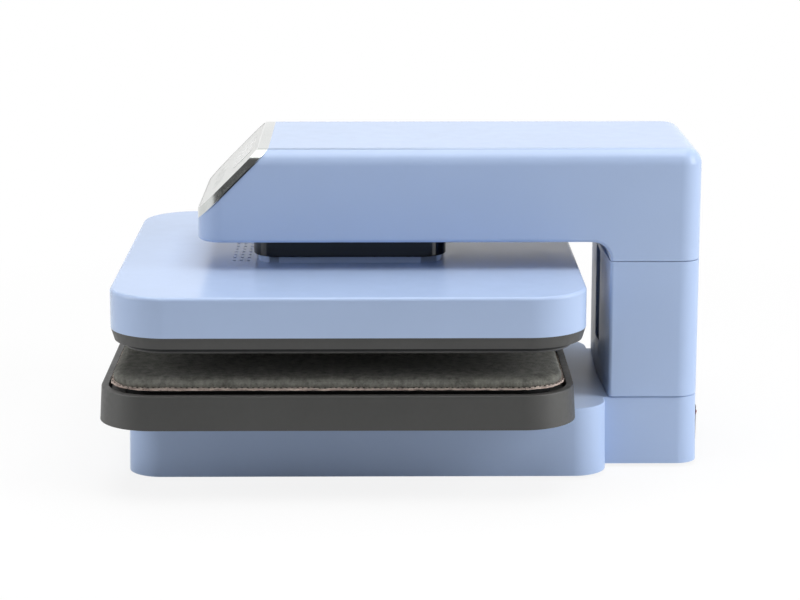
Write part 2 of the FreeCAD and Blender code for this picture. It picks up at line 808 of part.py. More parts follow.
def arm_form(name, inset, face_inset, rear_bottom):
    """The arm's outer form, or one set in from it, for the shell, its hollow and the panel."""
    body = new_body(name)
    front = -S.arm_front + inset
    rear = S.column_rear - inset
    top = ARM_TOP - inset
    slope = ARM_TOP + S.arm_front - S.arm_slope - face_inset * ROOT2
    sketch = sketch_on(body, "YZ_Plane")
    polygon(sketch, [(front, ARM_UNDER + inset), (S.column_front + inset, ARM_UNDER + inset),
                     (S.column_front + inset, rear_bottom), (rear, rear_bottom), (rear, top),
                     (top - slope, top), (front, slope + front)])
    half = S.column_width / 2 - inset
    pad(body, sketch, 2 * half, both=True)

    def stands_at(edge, y):
        return near_vertical(edge) and abs(middle(edge).y - y.value) < 0.1

    fillet(body, S.arm_corner - inset, lambda edge: stands_at(edge, front))
    fillet(body, S.column_corner - inset, lambda edge: stands_at(edge, rear))
    fillet(body, S.arm_edge - inset, lambda edge: at_height(edge, top)
           and middle(edge).y > (top - slope).value + 0.5)
    corner_y = (S.column_front + inset).value
    fillet(body, S.throat_corner + inset,
           lambda edge: abs(middle(edge).y - corner_y) < 0.1
           and at_height(edge, ARM_UNDER + inset))
    return body


def panel_wedge(name, depth):
    """All that lies in front of a plane this deep under the panel's face."""
    body = new_body(name)
    slope = ARM_TOP + S.arm_front - S.arm_slope - depth * ROOT2
    reach = S.arm_front + 40
    high = ARM_TOP + 40
    sketch = sketch_on(body, "YZ_Plane")
    polygon(sketch, [(-reach, slope - reach), (high - slope, high), (-reach, high)])
    pad(body, sketch, S.column_width + 40, both=True)
    return body


def arm_housing():
    """The moulded arm over the drive, open underneath for its bottom cover."""
    outer = arm_form("arm_outer", 0.0, S.bezel_depth, COLUMN_TOP)
    level = ARM_UNDER
    fillet(outer, S.lower_edge, lambda edge: at_height(edge, level))
    fillet(outer, S.seam_edge, lambda edge: at_height(edge, COLUMN_TOP))
    inner = arm_form("arm_hollow", S.wall, S.bezel_depth + S.wall, COLUMN_TOP - 1)
    opening = new_body("arm_opening")
    sketch = sketch_on(opening, "XY_Plane", ARM_UNDER - 1)
    rectangle(sketch, COVER_WIDTH, COVER_LENGTH, COVER_CORNER, y=COVER_Y)
    pad(opening, sketch, S.wall + 2)
    return cut("arm_housing", outer, fuse("arm_housing_hollow", inner, opening))


def arm_bottom_cover():
    """The plate under the arm, with the opening for the ram's shroud."""
    body = new_body("arm_bottom_cover")
    sketch = sketch_on(body, "XY_Plane", ARM_UNDER)
    gap = 2 * S.seam_gap
    rectangle(sketch, COVER_WIDTH - gap, COVER_LENGTH - gap, COVER_CORNER - S.seam_gap, y=COVER_Y)
    pad(body, sketch, S.wall)
    hole = sketch_on(body, "XY_Plane", ARM_UNDER + S.wall + 1)
    rectangle(hole, SHROUD_WIDTH + gap, SHROUD_LENGTH + gap, SHROUD_CORNER + S.seam_gap, y=PLATEN_Y)
    pocket(body, hole, S.wall + 2)
    return body


def control_bezel():
    """The bright frame of the panel: the arm's own outline, cut to a ledged ring."""
    ring = common("bezel_ring", arm_form("bezel_form", 0.0, 0.0, COLUMN_TOP),
                  panel_wedge("bezel_wedge", S.bezel_depth))
    seat = common("bezel_seat", arm_form("seat_form", S.bezel_lip, -1.0, COLUMN_TOP),
                  panel_wedge("seat_wedge", S.glass_depth))
    window_form = arm_form("window_form", S.bezel_lip + S.bezel_ledge, -1.0, COLUMN_TOP)
    window = common("bezel_window", window_form, panel_wedge("window_wedge", S.bezel_depth + 1))
    return cut("control_bezel", ring, fuse("bezel_tools", seat, window))


def control_glass():
    """The pale touch glass in the bezel's seat."""
    form = arm_form("glass_form", S.bezel_lip + S.seam_gap, S.glass_sink, COLUMN_TOP)
    return common("control_glass", form, panel_wedge("glass_wedge", S.glass_depth))


def display_board():
    """The display and its circuit board, between the glass and the arm's sloped wall."""
    depth = S.bezel_depth - S.glass_depth
    item = box("display_board", S.display_width, S.display_height, depth)
    item.Label = "display_board"
    face_y = -S.arm_front + S.arm_slope / 2
    face_z = ARM_TOP - S.arm_slope / 2
    run = S.display_height / (2 * ROOT2)
    sink = S.bezel_depth / ROOT2
    place(item, -S.display_width / 2, face_y - run + sink, face_z - run - sink)
    item.Placement.Rotation = FreeCAD.Rotation(V(1, 0, 0), 45)
    return item


def ram_shroud():
    """The glossy sleeve that hangs from the arm round the ram."""
    body = new_body("ram_shroud")
    sketch = sketch_on(body, "XY_Plane", SHROUD_BOTTOM)
    rectangle(sketch, SHROUD_WIDTH, SHROUD_LENGTH, SHROUD_CORNER, y=PLATEN_Y)
    pad(body, sketch, S.shroud_drop + S.wall)
    fillet(body, S.fine_edge, lambda edge: at_height(edge, SHROUD_BOTTOM))
    flange = sketch_on(body, "XY_Plane", ARM_UNDER + S.wall)
    rectangle(flange, SHROUD_WIDTH + S.ram_flange, SHROUD_LENGTH + S.ram_flange,
              SHROUD_CORNER + S.ram_flange / 2, y=PLATEN_Y)
    pad(body, flange, SHROUD_FLANGE)
    bore = sketch_on(body, "XY_Plane", SHROUD_BOTTOM - 1)
    rectangle(bore, S.ram_width + 2 * S.shroud_gap, S.ram_length + 2 * S.shroud_gap,
              S.ram_corner + S.shroud_gap, y=PLATEN_Y)
    pocket(body, bore, S.shroud_drop + S.wall + SHROUD_FLANGE + 2, reverse=True)
    return body


def ring(name, inner, outer, height, places, level, flange=None):
    """Bushes or bearings: rings of one size, with a flange ring where it is given."""
    items = []
    for index, (x, y) in enumerate(places):
        solid = cylinder(f"{name}_disc_{index}", outer, height, x, y, level)
        if flange:
            extra, thick, seat = flange
            collar = cylinder(f"{name}_collar_{index}", outer + extra, thick, x, y, seat)
            solid = fuse(f"{name}_body_{index}", solid, collar)
        hole = cylinder(f"{name}_bore_{index}", inner, height, x, y, level)
        items.append(cut(f"{name}_{index}", solid, hole))
    return group(name, items)


def guide_bushes():
    """The four flanged bushes that the guide rods slide in."""
    inner = S.rod_radius + S.running_fit
    return ring("guide_bushes", inner, inner + S.bush_wall, S.bush_length, RODS,
                ARM_BEAM_BOTTOM, (4.0, S.bush_flange, ARM_BEAM_FLOOR))


def lower_bearing():
    inner = S.screw_radius + S.running_fit
    return ring("lower_bearing", inner, inner + S.bearing_wall, S.arm_beam_floor,
                [(0.0, PLATEN_Y)], ARM_BEAM_BOTTOM)


def upper_bearing():
    inner = S.screw_neck + S.running_fit
    return ring("upper_bearing", inner, inner + S.bearing_wall, S.gearbox_gauge,
                [(0.0, PLATEN_Y)], GEARBOX_BOTTOM)


def gearbox_pillars():
    """The four spacers between the arm beam's floor and the gearbox plate."""
    return ring("gearbox_pillars", S.foot_screw_radius + S.pilot_play, S.pillar_radius,
                S.pillar_height, PILLARS, ARM_BEAM_FLOOR)


def gearbox_plate():
    """The plate over the gears: upper bearing, motor spigot and rod clearance holes."""
    body = new_body("gearbox_plate")
    front = PILLARS[0][1] - S.gearbox_margin
    rear = PILLARS[1][1] + S.gearbox_margin
    sketch = sketch_on(body, "XY_Plane", GEARBOX_BOTTOM)
    rectangle(sketch, 2 * (S.beam_half - S.beam_gauge) - 1, rear - front, S.gearbox_margin,
              y=(front + rear) / 2)
    pad(body, sketch, S.gearbox_gauge)
    holes = sketch_on(body, "XY_Plane", GEARBOX_TOP)
    circles(holes, [(0.0, PLATEN_Y)], S.screw_neck + S.running_fit + S.bearing_wall)
    circles(holes, [(0.0, MOTOR_Y)], MOTOR_SPIGOT + S.running_fit)
    circles(holes, PILLARS, S.foot_screw_radius + S.pilot_play)
    circles(holes, [RODS[1], RODS[3]], S.rod_radius + 2)
    pocket(body, holes, S.gearbox_gauge + 1)
    return body


def drive_motor():
    """The motor that stands on the gearbox plate, with its spigot and shaft bore."""
    flange = cylinder("motor_flange", S.motor_radius, 4.0, 0.0, MOTOR_Y, GEARBOX_TOP)
    can = cylinder("motor_can", S.motor_radius - 1.5, S.motor_height - 6, 0.0, MOTOR_Y, GEARBOX_TOP)
    cap = cylinder("motor_cap", S.motor_radius - 8, S.motor_height, 0.0, MOTOR_Y, GEARBOX_TOP)
    spigot = cylinder("motor_spigot", MOTOR_SPIGOT, S.gearbox_gauge, 0.0, MOTOR_Y, GEARBOX_BOTTOM)
    solid = fuse("motor_body", flange, can, cap, spigot)
    bore = cylinder("motor_bore", S.pinion_shaft + S.running_fit, S.gearbox_gauge + MOTOR_GRIP + 1,
                    0.0, MOTOR_Y, GEARBOX_BOTTOM)
    return cut("drive_motor", solid, bore)


def gear_outline(teeth, phase):
    """Involute teeth at a pressure angle of 20 degrees, two steps to each flank."""
    module = S.gear_module.value
    pitch = module * teeth / 2
    base = pitch * math.cos(math.radians(20))
    tip = pitch + module
    root = pitch - 1.25 * module

    def roll(radius):
        angle = math.acos(min(1.0, base / radius))
        return math.tan(angle) - angle

    def half_tooth(radius):
        lean = roll(pitch) - roll(max(radius, base))
        return math.pi / (2 * teeth) - S.gear_backlash.value / (4 * pitch) + lean

    points = []
    for tooth in range(teeth):
        centre = 2 * math.pi * tooth / teeth + phase
        flank = [(root, half_tooth(root)), (pitch, half_tooth(pitch)), (tip, half_tooth(tip))]
        for radius, half in flank + [(r, -h) for r, h in reversed(flank)]:
            points.append(V(radius * math.cos(centre - half), radius * math.sin(centre - half), 0))
    return points + [points[0]]


def gear(teeth, bore, phase):
    """A spur gear on the drawing plane, with its bore."""
    face = Part.Face(Part.makePolygon(gear_outline(teeth, phase)))
    height = S.gear_face.value
    solid = face.extrude(V(0, 0, height))
    return solid.cut(Part.makeCylinder(bore, height))


def drive_wheel():
    """The large gear on the press screw, a tooth gap towards the pinion."""
    teeth = int(S.wheel_teeth.value)
    phase = math.pi / 2 + math.pi / teeth
    item = doc.addObject("Part::Feature", "drive_wheel")
    item.Shape = gear(teeth, S.screw_radius.value, phase)
    item.Label = "drive_wheel"
    place(item, 0.0, PLATEN_Y, GEAR_BOTTOM)
    return item


def drive_pinion():
    """The motor's small gear and shaft, one tooth in the wheel's gap."""
    teeth = int(S.pinion_teeth.value)
    shape = gear(teeth, S.pinion_shaft.value, -math.pi / 2)
    below = 2.0
    above = (GEARBOX_TOP - GEAR_BOTTOM).value + MOTOR_GRIP.value
    shaft = Part.makeCylinder(S.pinion_shaft.value, above + below, V(0, 0, -below))
    item = doc.addObject("Part::Feature", "drive_pinion")
    item.Shape = shape.fuse(shaft).removeSplitter()
    item.Label = "drive_pinion"
    place(item, 0.0, MOTOR_Y, GEAR_BOTTOM)
    return item


def lead_screw():
    """The press screw: plain for the nut, with a neck for the upper bearing."""
    body = new_body("lead_screw")
    sketch = sketch_on(body, "XZ_Plane")
    low = SCREW_BOTTOM
    neck = GEARBOX_BOTTOM - 1
    high = GEARBOX_TOP + 3
    axis = as_size(0.0)
    polygon(sketch, [(axis, low), (S.screw_radius - 1, low), (S.screw_radius, low + 1),
                     (S.screw_radius, neck), (S.screw_neck, neck), (S.screw_neck, high),
                     (axis, high)])
    turned = body.newObject("PartDesign::Revolution", "lead_screw_turned")
    turned.Profile = sketch
    turned.ReferenceAxis = (sketch, ["V_Axis"])
    turned.Angle = 360
    place(body, 0.0, PLATEN_Y, 0.0)
    doc.recompute()
    return body


def drive_nut():
    """The bronze nut: its flange is bolted to the bridge plate, its body stands above."""
    level = BRIDGE_TOP
    flange = cylinder("nut_flange_disc", S.nut_flange, NUT_FLANGE_GAUGE, 0.0, PLATEN_Y, level)
    barrel = cylinder("nut_barrel", S.nut_radius, NUT_HEIGHT, 0.0, PLATEN_Y, BRIDGE_BOTTOM)
    running = S.screw_radius + S.running_fit
    bore = cylinder("nut_bore", running, NUT_HEIGHT, 0.0, PLATEN_Y, BRIDGE_BOTTOM)
    return cut("drive_nut", fuse("nut_body", flange, barrel), bore)


def bridge_plate():
    """The steel plate that joins the ram, rods and nut to the hot plate's stand-offs."""
    body = new_body("bridge_plate")
    sketch = sketch_on(body, "XY_Plane", BRIDGE_BOTTOM)
    rectangle(sketch, S.bridge_side, S.bridge_side, S.bridge_corner, y=PLATEN_Y)
    pad(body, sketch, S.bridge_gauge)
    holes = sketch_on(body, "XY_Plane", BRIDGE_TOP)
    circles(holes, [(0.0, PLATEN_Y)], S.nut_radius)
    circles(holes, RODS, S.rod_radius)
    for side in (-1, 1):
        rectangle(holes, S.bridge_window_width, S.bridge_window_length,
                  S.bridge_window_corner, x=side * S.bridge_window_x, y=PLATEN_Y)
    pocket(body, holes, S.bridge_gauge + 1)
    return body


def guide_rods():
    """The four ground rods that carry the platen in the arm's bushes."""
    rods = [cylinder(f"guide_rod_{index}", S.rod_radius, S.rod_length, x, y, BRIDGE_BOTTOM)
            for index, (x, y) in enumerate(RODS)]
    return group("guide_rods", rods)


def rod_collars():
    """The collars that clamp the rods to the bridge plate from above."""
    return ring("rod_collars", S.rod_radius, S.rod_radius + S.collar_wall, S.collar_height,
                RODS, BRIDGE_TOP)


def plate_standoffs():
    """The spacers that hold the hot plate under the bridge plate."""
    posts = [cylinder(f"standoff_{index}", S.standoff_radius, BRIDGE_BOTTOM - HOT_TOP, x, y, HOT_TOP)
             for index, (x, y) in enumerate(STANDOFFS)]
    return group("plate_standoffs", posts)


def ram_cover():
    """The ram's sleeve: a flange under the platen cover and walls that rise into the shroud."""
    body = new_body("ram_cover")
    sketch = sketch_on(body, "XY_Plane", BRIDGE_TOP)
    rectangle(sketch, S.ram_width + 2 * S.ram_flange, S.ram_length + 2 * S.ram_flange,
              S.ram_corner + S.ram_flange, y=PLATEN_Y)
    pad(body, sketch, COVER_TOP - S.wall - BRIDGE_TOP)
    tube = sketch_on(body, "XY_Plane", BRIDGE_TOP)
    rectangle(tube, S.ram_width, S.ram_length, S.ram_corner, y=PLATEN_Y)
    pad(body, tube, S.ram_height)
    bore = sketch_on(body, "XY_Plane", BRIDGE_TOP - 1)
    rectangle(bore, S.ram_width - 2 * S.wall, S.ram_length - 2 * S.wall,
              S.ram_corner - S.wall, y=PLATEN_Y)
    pocket(body, bore, S.ram_height + 2, reverse=True)
    return body


def platen_cover():
    """The moulded cover over the hot plate, with the ram's opening and air holes."""
    body = new_body("platen_cover")
    sketch = sketch_on(body, "XY_Plane", COVER_BOTTOM)
    rectangle(sketch, S.platen_side, S.platen_side, S.platen_corner, y=PLATEN_Y)
    pad(body, sketch, S.cover_height)
    fillet(body, S.cover_edge, lambda edge: at_height(edge, COVER_TOP))
    hollow = sketch_on(body, "XY_Plane", COVER_BOTTOM)
    inner = S.platen_side - 2 * S.wall
    rectangle(hollow, inner, inner, S.platen_corner - S.wall, y=PLATEN_Y)
    pocket(body, hollow, S.cover_height - S.wall, reverse=True)
    opening = sketch_on(body, "XY_Plane", COVER_TOP + 1)
    gap = 2 * S.seam_gap
    rectangle(opening, S.ram_width + gap, S.ram_length + gap, S.ram_corner + S.seam_gap, y=PLATEN_Y)
    pocket(body, opening, S.wall + 2)
    vents = sketch_on(body, "XY_Plane", COVER_TOP + 1)
    front = PLATEN_Y - SHROUD_LENGTH / 2
    first = front - S.cover_vent_gap
    circles(vents, [(x, first - line * S.cover_vent_step) for line in range(3)
                    for x in spread(S.cover_vent_rows, S.cover_vent_pitch)], S.cover_vent_radius)
    pocket(body, vents, S.wall + 2)
    return body


def platen_skirt():
    """The dark heat-proof ring under the cover, drawn in towards the hot plate."""
    body = new_body("platen_skirt")
    sketch = sketch_on(body, "XY_Plane", COVER_BOTTOM)
    rectangle(sketch, S.platen_side, S.platen_side, S.platen_corner, y=PLATEN_Y)
    taper = f"-atan({S.skirt_taper.text} / {S.skirt_height.text})"
    pad(body, sketch, S.skirt_height, reverse=True, taper=taper)
    hole = sketch_on(body, "XY_Plane", COVER_BOTTOM + 1)
    inner = S.platen_side - 2 * S.skirt_width
    rectangle(hole, inner, inner, S.platen_corner - S.skirt_width, y=PLATEN_Y)
    pocket(body, hole, S.skirt_height + 2)
    return body


def heating_plate():
    """The cast hot plate, its lower edges broken."""
    body = new_body("heating_plate")
    sketch = sketch_on(body, "XY_Plane", HOT_BOTTOM)
    rectangle(sketch, HOT_SIDE, HOT_SIDE, HOT_CORNER, y=PLATEN_Y)
    pad(body, sketch, S.hot_plate_gauge)
    edge_break = body.newObject("PartDesign::Chamfer", "heating_plate_chamfer")
    tip = [item for item in body.Group if item.TypeId == "PartDesign::Pad"][0]
    names = [f"Edge{number}" for number, edge in enumerate(tip.Shape.Edges, start=1)
             if at_height(edge, HOT_BOTTOM)]
    edge_break.Base = (tip, names)
    bind(edge_break, "Size", S.hot_plate_break)
    doc.recompute()
    return body


def heating_element():
    """The flat-sided heater on the hot plate: straight runs joined by half-round bends."""
    body = new_body("heating_element")
    level = HOT_TOP + S.element_radius
    path = sketch_on(body, "XY_Plane", level, y=PLATEN_Y)
    reach = S.element_reach
    pitch = S.element_pitch
    lines = spread(4, pitch)
    tail = -reach - S.element_tail
    for index, line in enumerate(lines):
        side = 1 if index % 2 == 0 else -1
        start = tail if index == 0 else -side * reach
        end = tail if index == 3 else side * reach
        path.addGeometry(Part.LineSegment(V(as_size(start).value, line.value, 0),
                                          V(as_size(end).value, line.value, 0)), False)
        where = path.GeometryCount - 1
        datum(path, "DistanceX", -1, 1, where, 1, size=start)
        datum(path, "DistanceY", -1, 1, where, 1, size=line)
        datum(path, "DistanceX", -1, 1, where, 2, size=end)
        datum(path, "DistanceY", -1, 1, where, 2, size=line)
    for index in range(3):
        side = 1 if index % 2 == 0 else -1
        low, high = lines[index].value, lines[index + 1].value
        tip = reach.value + pitch.value / 2
        arc = Part.Arc(V(side * reach.value, low, 0), V(side * tip, (low + high) / 2, 0),
                       V(side * reach.value, high, 0))
        where = path.GeometryCount
        path.addGeometry(arc, False)
        ends = (1, 2) if side > 0 else (2, 1)
        path.addConstraint(Sketcher.Constraint("Coincident", index, 2, where, ends[0]))
        path.addConstraint(Sketcher.Constraint("Coincident", index + 1, 1, where, ends[1]))
        datum(path, "DistanceX", -1, 1, where, 3, size=side * reach)
    section = sketch_on(body, "YZ_Plane", tail)
    rectangle(section, 2 * S.element_radius, 2 * S.element_radius, x=PLATEN_Y + lines[0], y=level)
    doc.recompute()
    tube = body.newObject("PartDesign::AdditivePipe", "heating_element_tube")
    tube.Profile = section
    tube.Spine = (path, [f"Edge{number}" for number in range(1, len(path.Shape.Edges) + 1)])
    doc.recompute()
    return body


def insulation_board():
    """The mineral board over the heater, with holes for the stand-offs and the screw."""
    body = new_body("insulation_board")
    sketch = sketch_on(body, "XY_Plane", HOT_TOP + 2 * S.element_radius)
    side = HOT_SIDE - 2 * S.board_gap
    rectangle(sketch, side, side, HOT_CORNER - S.board_gap, y=PLATEN_Y)
    pad(body, sketch, S.board_gauge)
    holes = sketch_on(body, "XY_Plane", HOT_TOP + 2 * S.element_radius + S.board_gauge)
    circles(holes, [(0.0, PLATEN_Y)], S.board_hole)
    circles(holes, STANDOFFS, S.standoff_radius + 0.5)
    pocket(body, holes, S.board_gauge + 1)
    return body


def thermostat():
    """The thermal cut-out clamped on the hot plate, under the board's middle hole."""
    disc = cylinder("thermostat_disc", S.cutout_radius, S.cutout_height, 0.0, PLATEN_Y, HOT_TOP)
    cap = cylinder("thermostat_cap", S.cutout_cap_radius, S.cutout_cap_height, 0.0, PLATEN_Y, HOT_TOP)
    wing = box("thermostat_wing", S.cutout_wing_span, S.cutout_wing_width, S.cutout_wing_gauge,
               -S.cutout_wing_span / 2, PLATEN_Y - S.cutout_wing_width / 2, HOT_TOP)
    return fuse("thermostat", disc, cap, wing)


def press_tray():
    """The sliding tray: flared sides, a sunk seat for the pad, ribs and rail notches."""
    body = new_body("press_tray")
    sketch = sketch_on(body, "XY_Plane", TRAY_BOTTOM)
    rectangle(sketch, S.tray_side, S.tray_side, S.tray_corner, y=TRAY_Y)
    taper = f"-atan({S.tray_flare.text} / {S.tray_height.text})"
    pad(body, sketch, S.tray_height, taper=taper)
    seat = sketch_on(body, "XY_Plane", TRAY_TOP)
    rectangle(seat, TRAY_SEAT, TRAY_SEAT, SEAT_CORNER, y=TRAY_Y)
    pocket(body, seat, S.tray_recess)
    fillet(body, S.fine_edge, lambda edge: at_height(edge, TRAY_TOP))
    under = sketch_on(body, "XY_Plane", TRAY_BOTTOM)
    rectangle(under, TRAY_SEAT, TRAY_SEAT, SEAT_CORNER, y=TRAY_Y)
    pocket(body, under, S.tray_height - S.tray_recess - S.tray_floor, reverse=True)
    ribs = sketch_on(body, "XY_Plane", TRAY_BOTTOM + 1)
    for x in (S.rib_inner, S.rib_middle, S.rib_outer):
        for side in (-1, 1):
            rectangle(ribs, S.tray_rib, TRAY_SEAT - 2 * S.rib_end, x=side * x, y=TRAY_Y)
    pad(body, ribs, S.tray_height - S.tray_recess - 1.5)
    notch = sketch_on(body, "XZ_Plane", -(TRAY_Y + S.tray_side / 2 + 1))
    for side in (-1, 1):
        rectangle(notch, S.rail_reach + RAIL_FOOT + 9, S.rail_height + 5.0,
                  x=side * (S.rail_x + (S.rail_reach - RAIL_FOOT + 5) / 2),
                  y=TRAY_BOTTOM - 1 + (S.rail_height + 5.0) / 2)
    pocket(body, notch, S.tray_rim + S.tray_flare + 4, reverse=True)
    return body


def rail_section(body, side, web, reach, low, high, gauge, middle_y):
    """A rail: a channel open outwards, drawn along the tray's travel."""
    sketch = sketch_on(body, "XZ_Plane", -(middle_y + RAIL_LENGTH / 2))
    near = side * web
    inner = side * (web + gauge)
    far = side * (web + reach)
    polygon(sketch, [(near, low), (far, low), (far, low + gauge), (inner, low + gauge),
                     (inner, high - gauge), (far, high - gauge), (far, high), (near, high)])
    pad(body, sketch, RAIL_LENGTH)
    return body


def fixed_rail(name, side):
    """The rail on the deck, with its foot strip."""
    body = new_body(name)
    rail_section(body, side, S.rail_x, S.rail_reach, BASE_TOP, BASE_TOP + S.rail_height,
                 S.rail_gauge, TRAY_Y)
    foot = sketch_on(body, "XY_Plane", BASE_TOP)
    rectangle(foot, RAIL_FOOT + 1, RAIL_LENGTH, x=side * (S.rail_x - (RAIL_FOOT - 1) / 2), y=TRAY_Y)
    pad(body, foot, S.rail_gauge)
    return body


def mid_rail(name, side):
    """The rail between the fixed one and the runner."""
    low = BASE_TOP + S.rail_gauge + S.rail_gap
    high = BASE_TOP + S.rail_height - S.rail_gauge - S.rail_gap
    body = new_body(name)
    web = S.rail_x + S.rail_gauge + S.rail_gap
    return rail_section(body, side, web, S.rail_reach, low, high, S.mid_gauge, TRAY_Y)


def runner(name, side):
    """The tray's rail: a tongue in the middle rail and a bracket up to the tray."""
    low = BASE_TOP + S.rail_gauge + S.mid_gauge + 2 * S.rail_gap
    high = BASE_TOP + S.rail_height - S.rail_gauge - S.mid_gauge - 2 * S.rail_gap
    near = S.rail_x + S.rail_gauge + S.mid_gauge + 2 * S.rail_gap
    far = S.rail_x + S.rail_reach + 6
    body = new_body(name)
    sketch = sketch_on(body, "XZ_Plane", -(TRAY_Y + RAIL_LENGTH / 2))
    top = TRAY_FLOOR - S.tray_floor
    corners = [(near, low), (far, low), (far, top - 2), (far + 12, top - 2), (far + 12, top),
               (far - 2, top), (far - 2, high), (near, high)]
    polygon(sketch, [(side * x, z) for x, z in corners])
    pad(body, sketch, RAIL_LENGTH)
    return body


def pad_outline(inset, level, waist):
    """The pad's outline at one level: corners as arcs, sides drawn in by the waist."""
    half = PAD_SIDE.value / 2 - inset
    corner = max(PAD_CORNER.value - inset, 4.0)
    straight = half - corner
    edges = []
    for quarter in range(4):
        turn = FreeCAD.Rotation(V(0, 0, 1), 90 * quarter)
        a = turn.multVec(V(-straight, -half, 0))
        m = turn.multVec(V(0, -half + waist, 0))
        b = turn.multVec(V(straight, -half, 0))
        bend = corner * (1 - math.sqrt(0.5))
        n = turn.multVec(V(half - bend, -half + bend, 0))
        c = turn.multVec(V(half, -straight, 0))
        edges.append(Part.Arc(a, m, b).toShape())
        edges.append(Part.Arc(b, n, c).toShape())
    wire = Part.Wire(edges)
    wire.translate(V(0, 0, level))
    return wire


def pad_solid(levels):
    """A loft through outlines given as level, inset and waist."""
    wires = [pad_outline(inset, level, waist) for level, inset, waist in levels]
    return Part.makeLoft(wires, True, True)


def pad_core():
    """The sponge: straight sides, a little smaller than its cover."""
    height = (S.pad_height - S.pad_sheet).value
    waist = S.pad_waist.value
    edge = S.pad_sheet.value + 0.3
    item = doc.addObject("Part::Feature", "pad_core")
    item.Shape = pad_solid([(0.0, edge, waist), (height / 2, edge, waist),
                            (height - 1.5, edge + 0.6, waist), (height - 0.3, edge + 6, waist)])
    item.Label = "pad_core"
    place(item, 0.0, TRAY_Y, TRAY_FLOOR)
    return item


def pad_cover():
    """The padded cloth: crowned top, soft edge, and a hem down the sponge's sides."""
    top = S.pad_height.value
    low = top - S.pad_hem.value
    crown = S.pad_crown.value
    waist = S.pad_waist.value
    sheet = S.pad_sheet.value
    outer = pad_solid([(low, 0.6, waist), (low + 5, 0.0, waist), (top - crown - 3, 0.4, waist),
                       (top - crown - 1, 2.0, waist), (top - crown, 6.0, waist), (top, 70.0, 0.5)])
    roof = top - sheet
    inner = pad_solid([(low - 1, sheet, waist), (roof - 1.5, sheet + 0.3, waist),
                       (roof, sheet + 5.5, waist)])
    item = doc.addObject("Part::Feature", "pad_cover")
    item.Shape = outer.cut(inner)
    item.Label = "pad_cover"
    place(item, 0.0, TRAY_Y, TRAY_FLOOR)
    return item


# Blocks on the boards: length, width, height, then the near corner from the board's middle.
CONTROL_BLOCKS = {
    "relay": (16.0, 28.0, 15.0, -36.0, -41.0),
    "sink": (30.0, 12.0, 20.0, 6.0, -39.0),
    "plug": (24.0, 8.0, 9.0, -12.0, 37.0),
}
SUPPLY_BLOCKS = {
    "transformer": (34.0, 38.0, 28.0, -34.0, -40.0),
    "filter": (22.0, 26.0, 18.0, 10.0, -38.0),
}
# Each board's capacitor: radius, height, then its axis from the board's middle.
CONTROL_CAN = (8.0, 20.0, 24.0, 9.0)
SUPPLY_CAN = (11.0, 30.0, 18.0, 18.0)


def circuit(name, width, length, middle_y, base, lift, blocks, can):
    """A circuit board on four spacers, with its blocks and one capacitor."""
    level = base + lift
    parts = [box(f"{name}_sheet", width, length, S.circuit_gauge, -width / 2,
                 middle_y - length / 2, level)]
    reach_x = width / 2 - S.spacer_inset
    reach_y = length / 2 - S.spacer_inset
    for index, (x, y) in enumerate(four(reach_x, reach_y, middle_y)):
        parts.append(cylinder(f"{name}_spacer_{index}", S.spacer_radius, lift, x, y, base))
    top = level + S.circuit_gauge
    for block, (long, wide, high, x, y) in blocks.items():
        parts.append(box(f"{name}_{block}", long, wide, high, x, middle_y + y, top))
    radius, height, x, y = can
    parts.append(cylinder(f"{name}_capacitor", radius, height, x, middle_y + y, top))
    return fuse(name, *parts)


def control_board():
    """The control circuit board on its spacers, behind the drive."""
    return circuit("control_board", S.control_width, S.control_length, S.control_middle,
                   ARM_BEAM_FLOOR, S.control_lift, CONTROL_BLOCKS, CONTROL_CAN)


def power_supply():
    """The mains board on the base plate: transformer, filter and spacers."""
    return circuit("power_supply", S.supply_width, S.supply_length, S.supply_middle,
                   PLATE_TOP, S.supply_lift, SUPPLY_BLOCKS, SUPPLY_CAN)


def power_inlet():
    """The appliance inlet at the rear: flange, sunk shell and three flat pins."""
    body = new_body("power_inlet")
    rear = S.column_rear + S.base_flare
    flange = sketch_on(body, "XZ_Plane", -rear)
    rectangle(flange, S.inlet_width + 6, S.inlet_height + 6, 3.0, x=-S.inlet_x, y=INLET_Z)
    pad(body, flange, INLET_FLANGE, reverse=True)
    shell = sketch_on(body, "XZ_Plane", -rear)
    rectangle(shell, S.inlet_width, S.inlet_height, x=-S.inlet_x, y=INLET_Z)
    pad(body, shell, S.inlet_depth)
    well = sketch_on(body, "XZ_Plane", -(rear + INLET_FLANGE + 1))
    rectangle(well, S.inlet_width - 4, S.inlet_height - 4, 2.0, x=-S.inlet_x, y=INLET_Z)
    pocket(body, well, S.inlet_depth + INLET_FLANGE - 1, reverse=True)
    pins = sketch_on(body, "XZ_Plane", -(rear - S.inlet_depth + 1))
    for x, z in ((-7.0, -1.5), (0.0, 2.5), (7.0, -1.5)):
        rectangle(pins, 2.0, 4.0, x=x - S.inlet_x, y=INLET_Z + z)
    pad(body, pins, S.inlet_depth - 4, reverse=True)
    return body


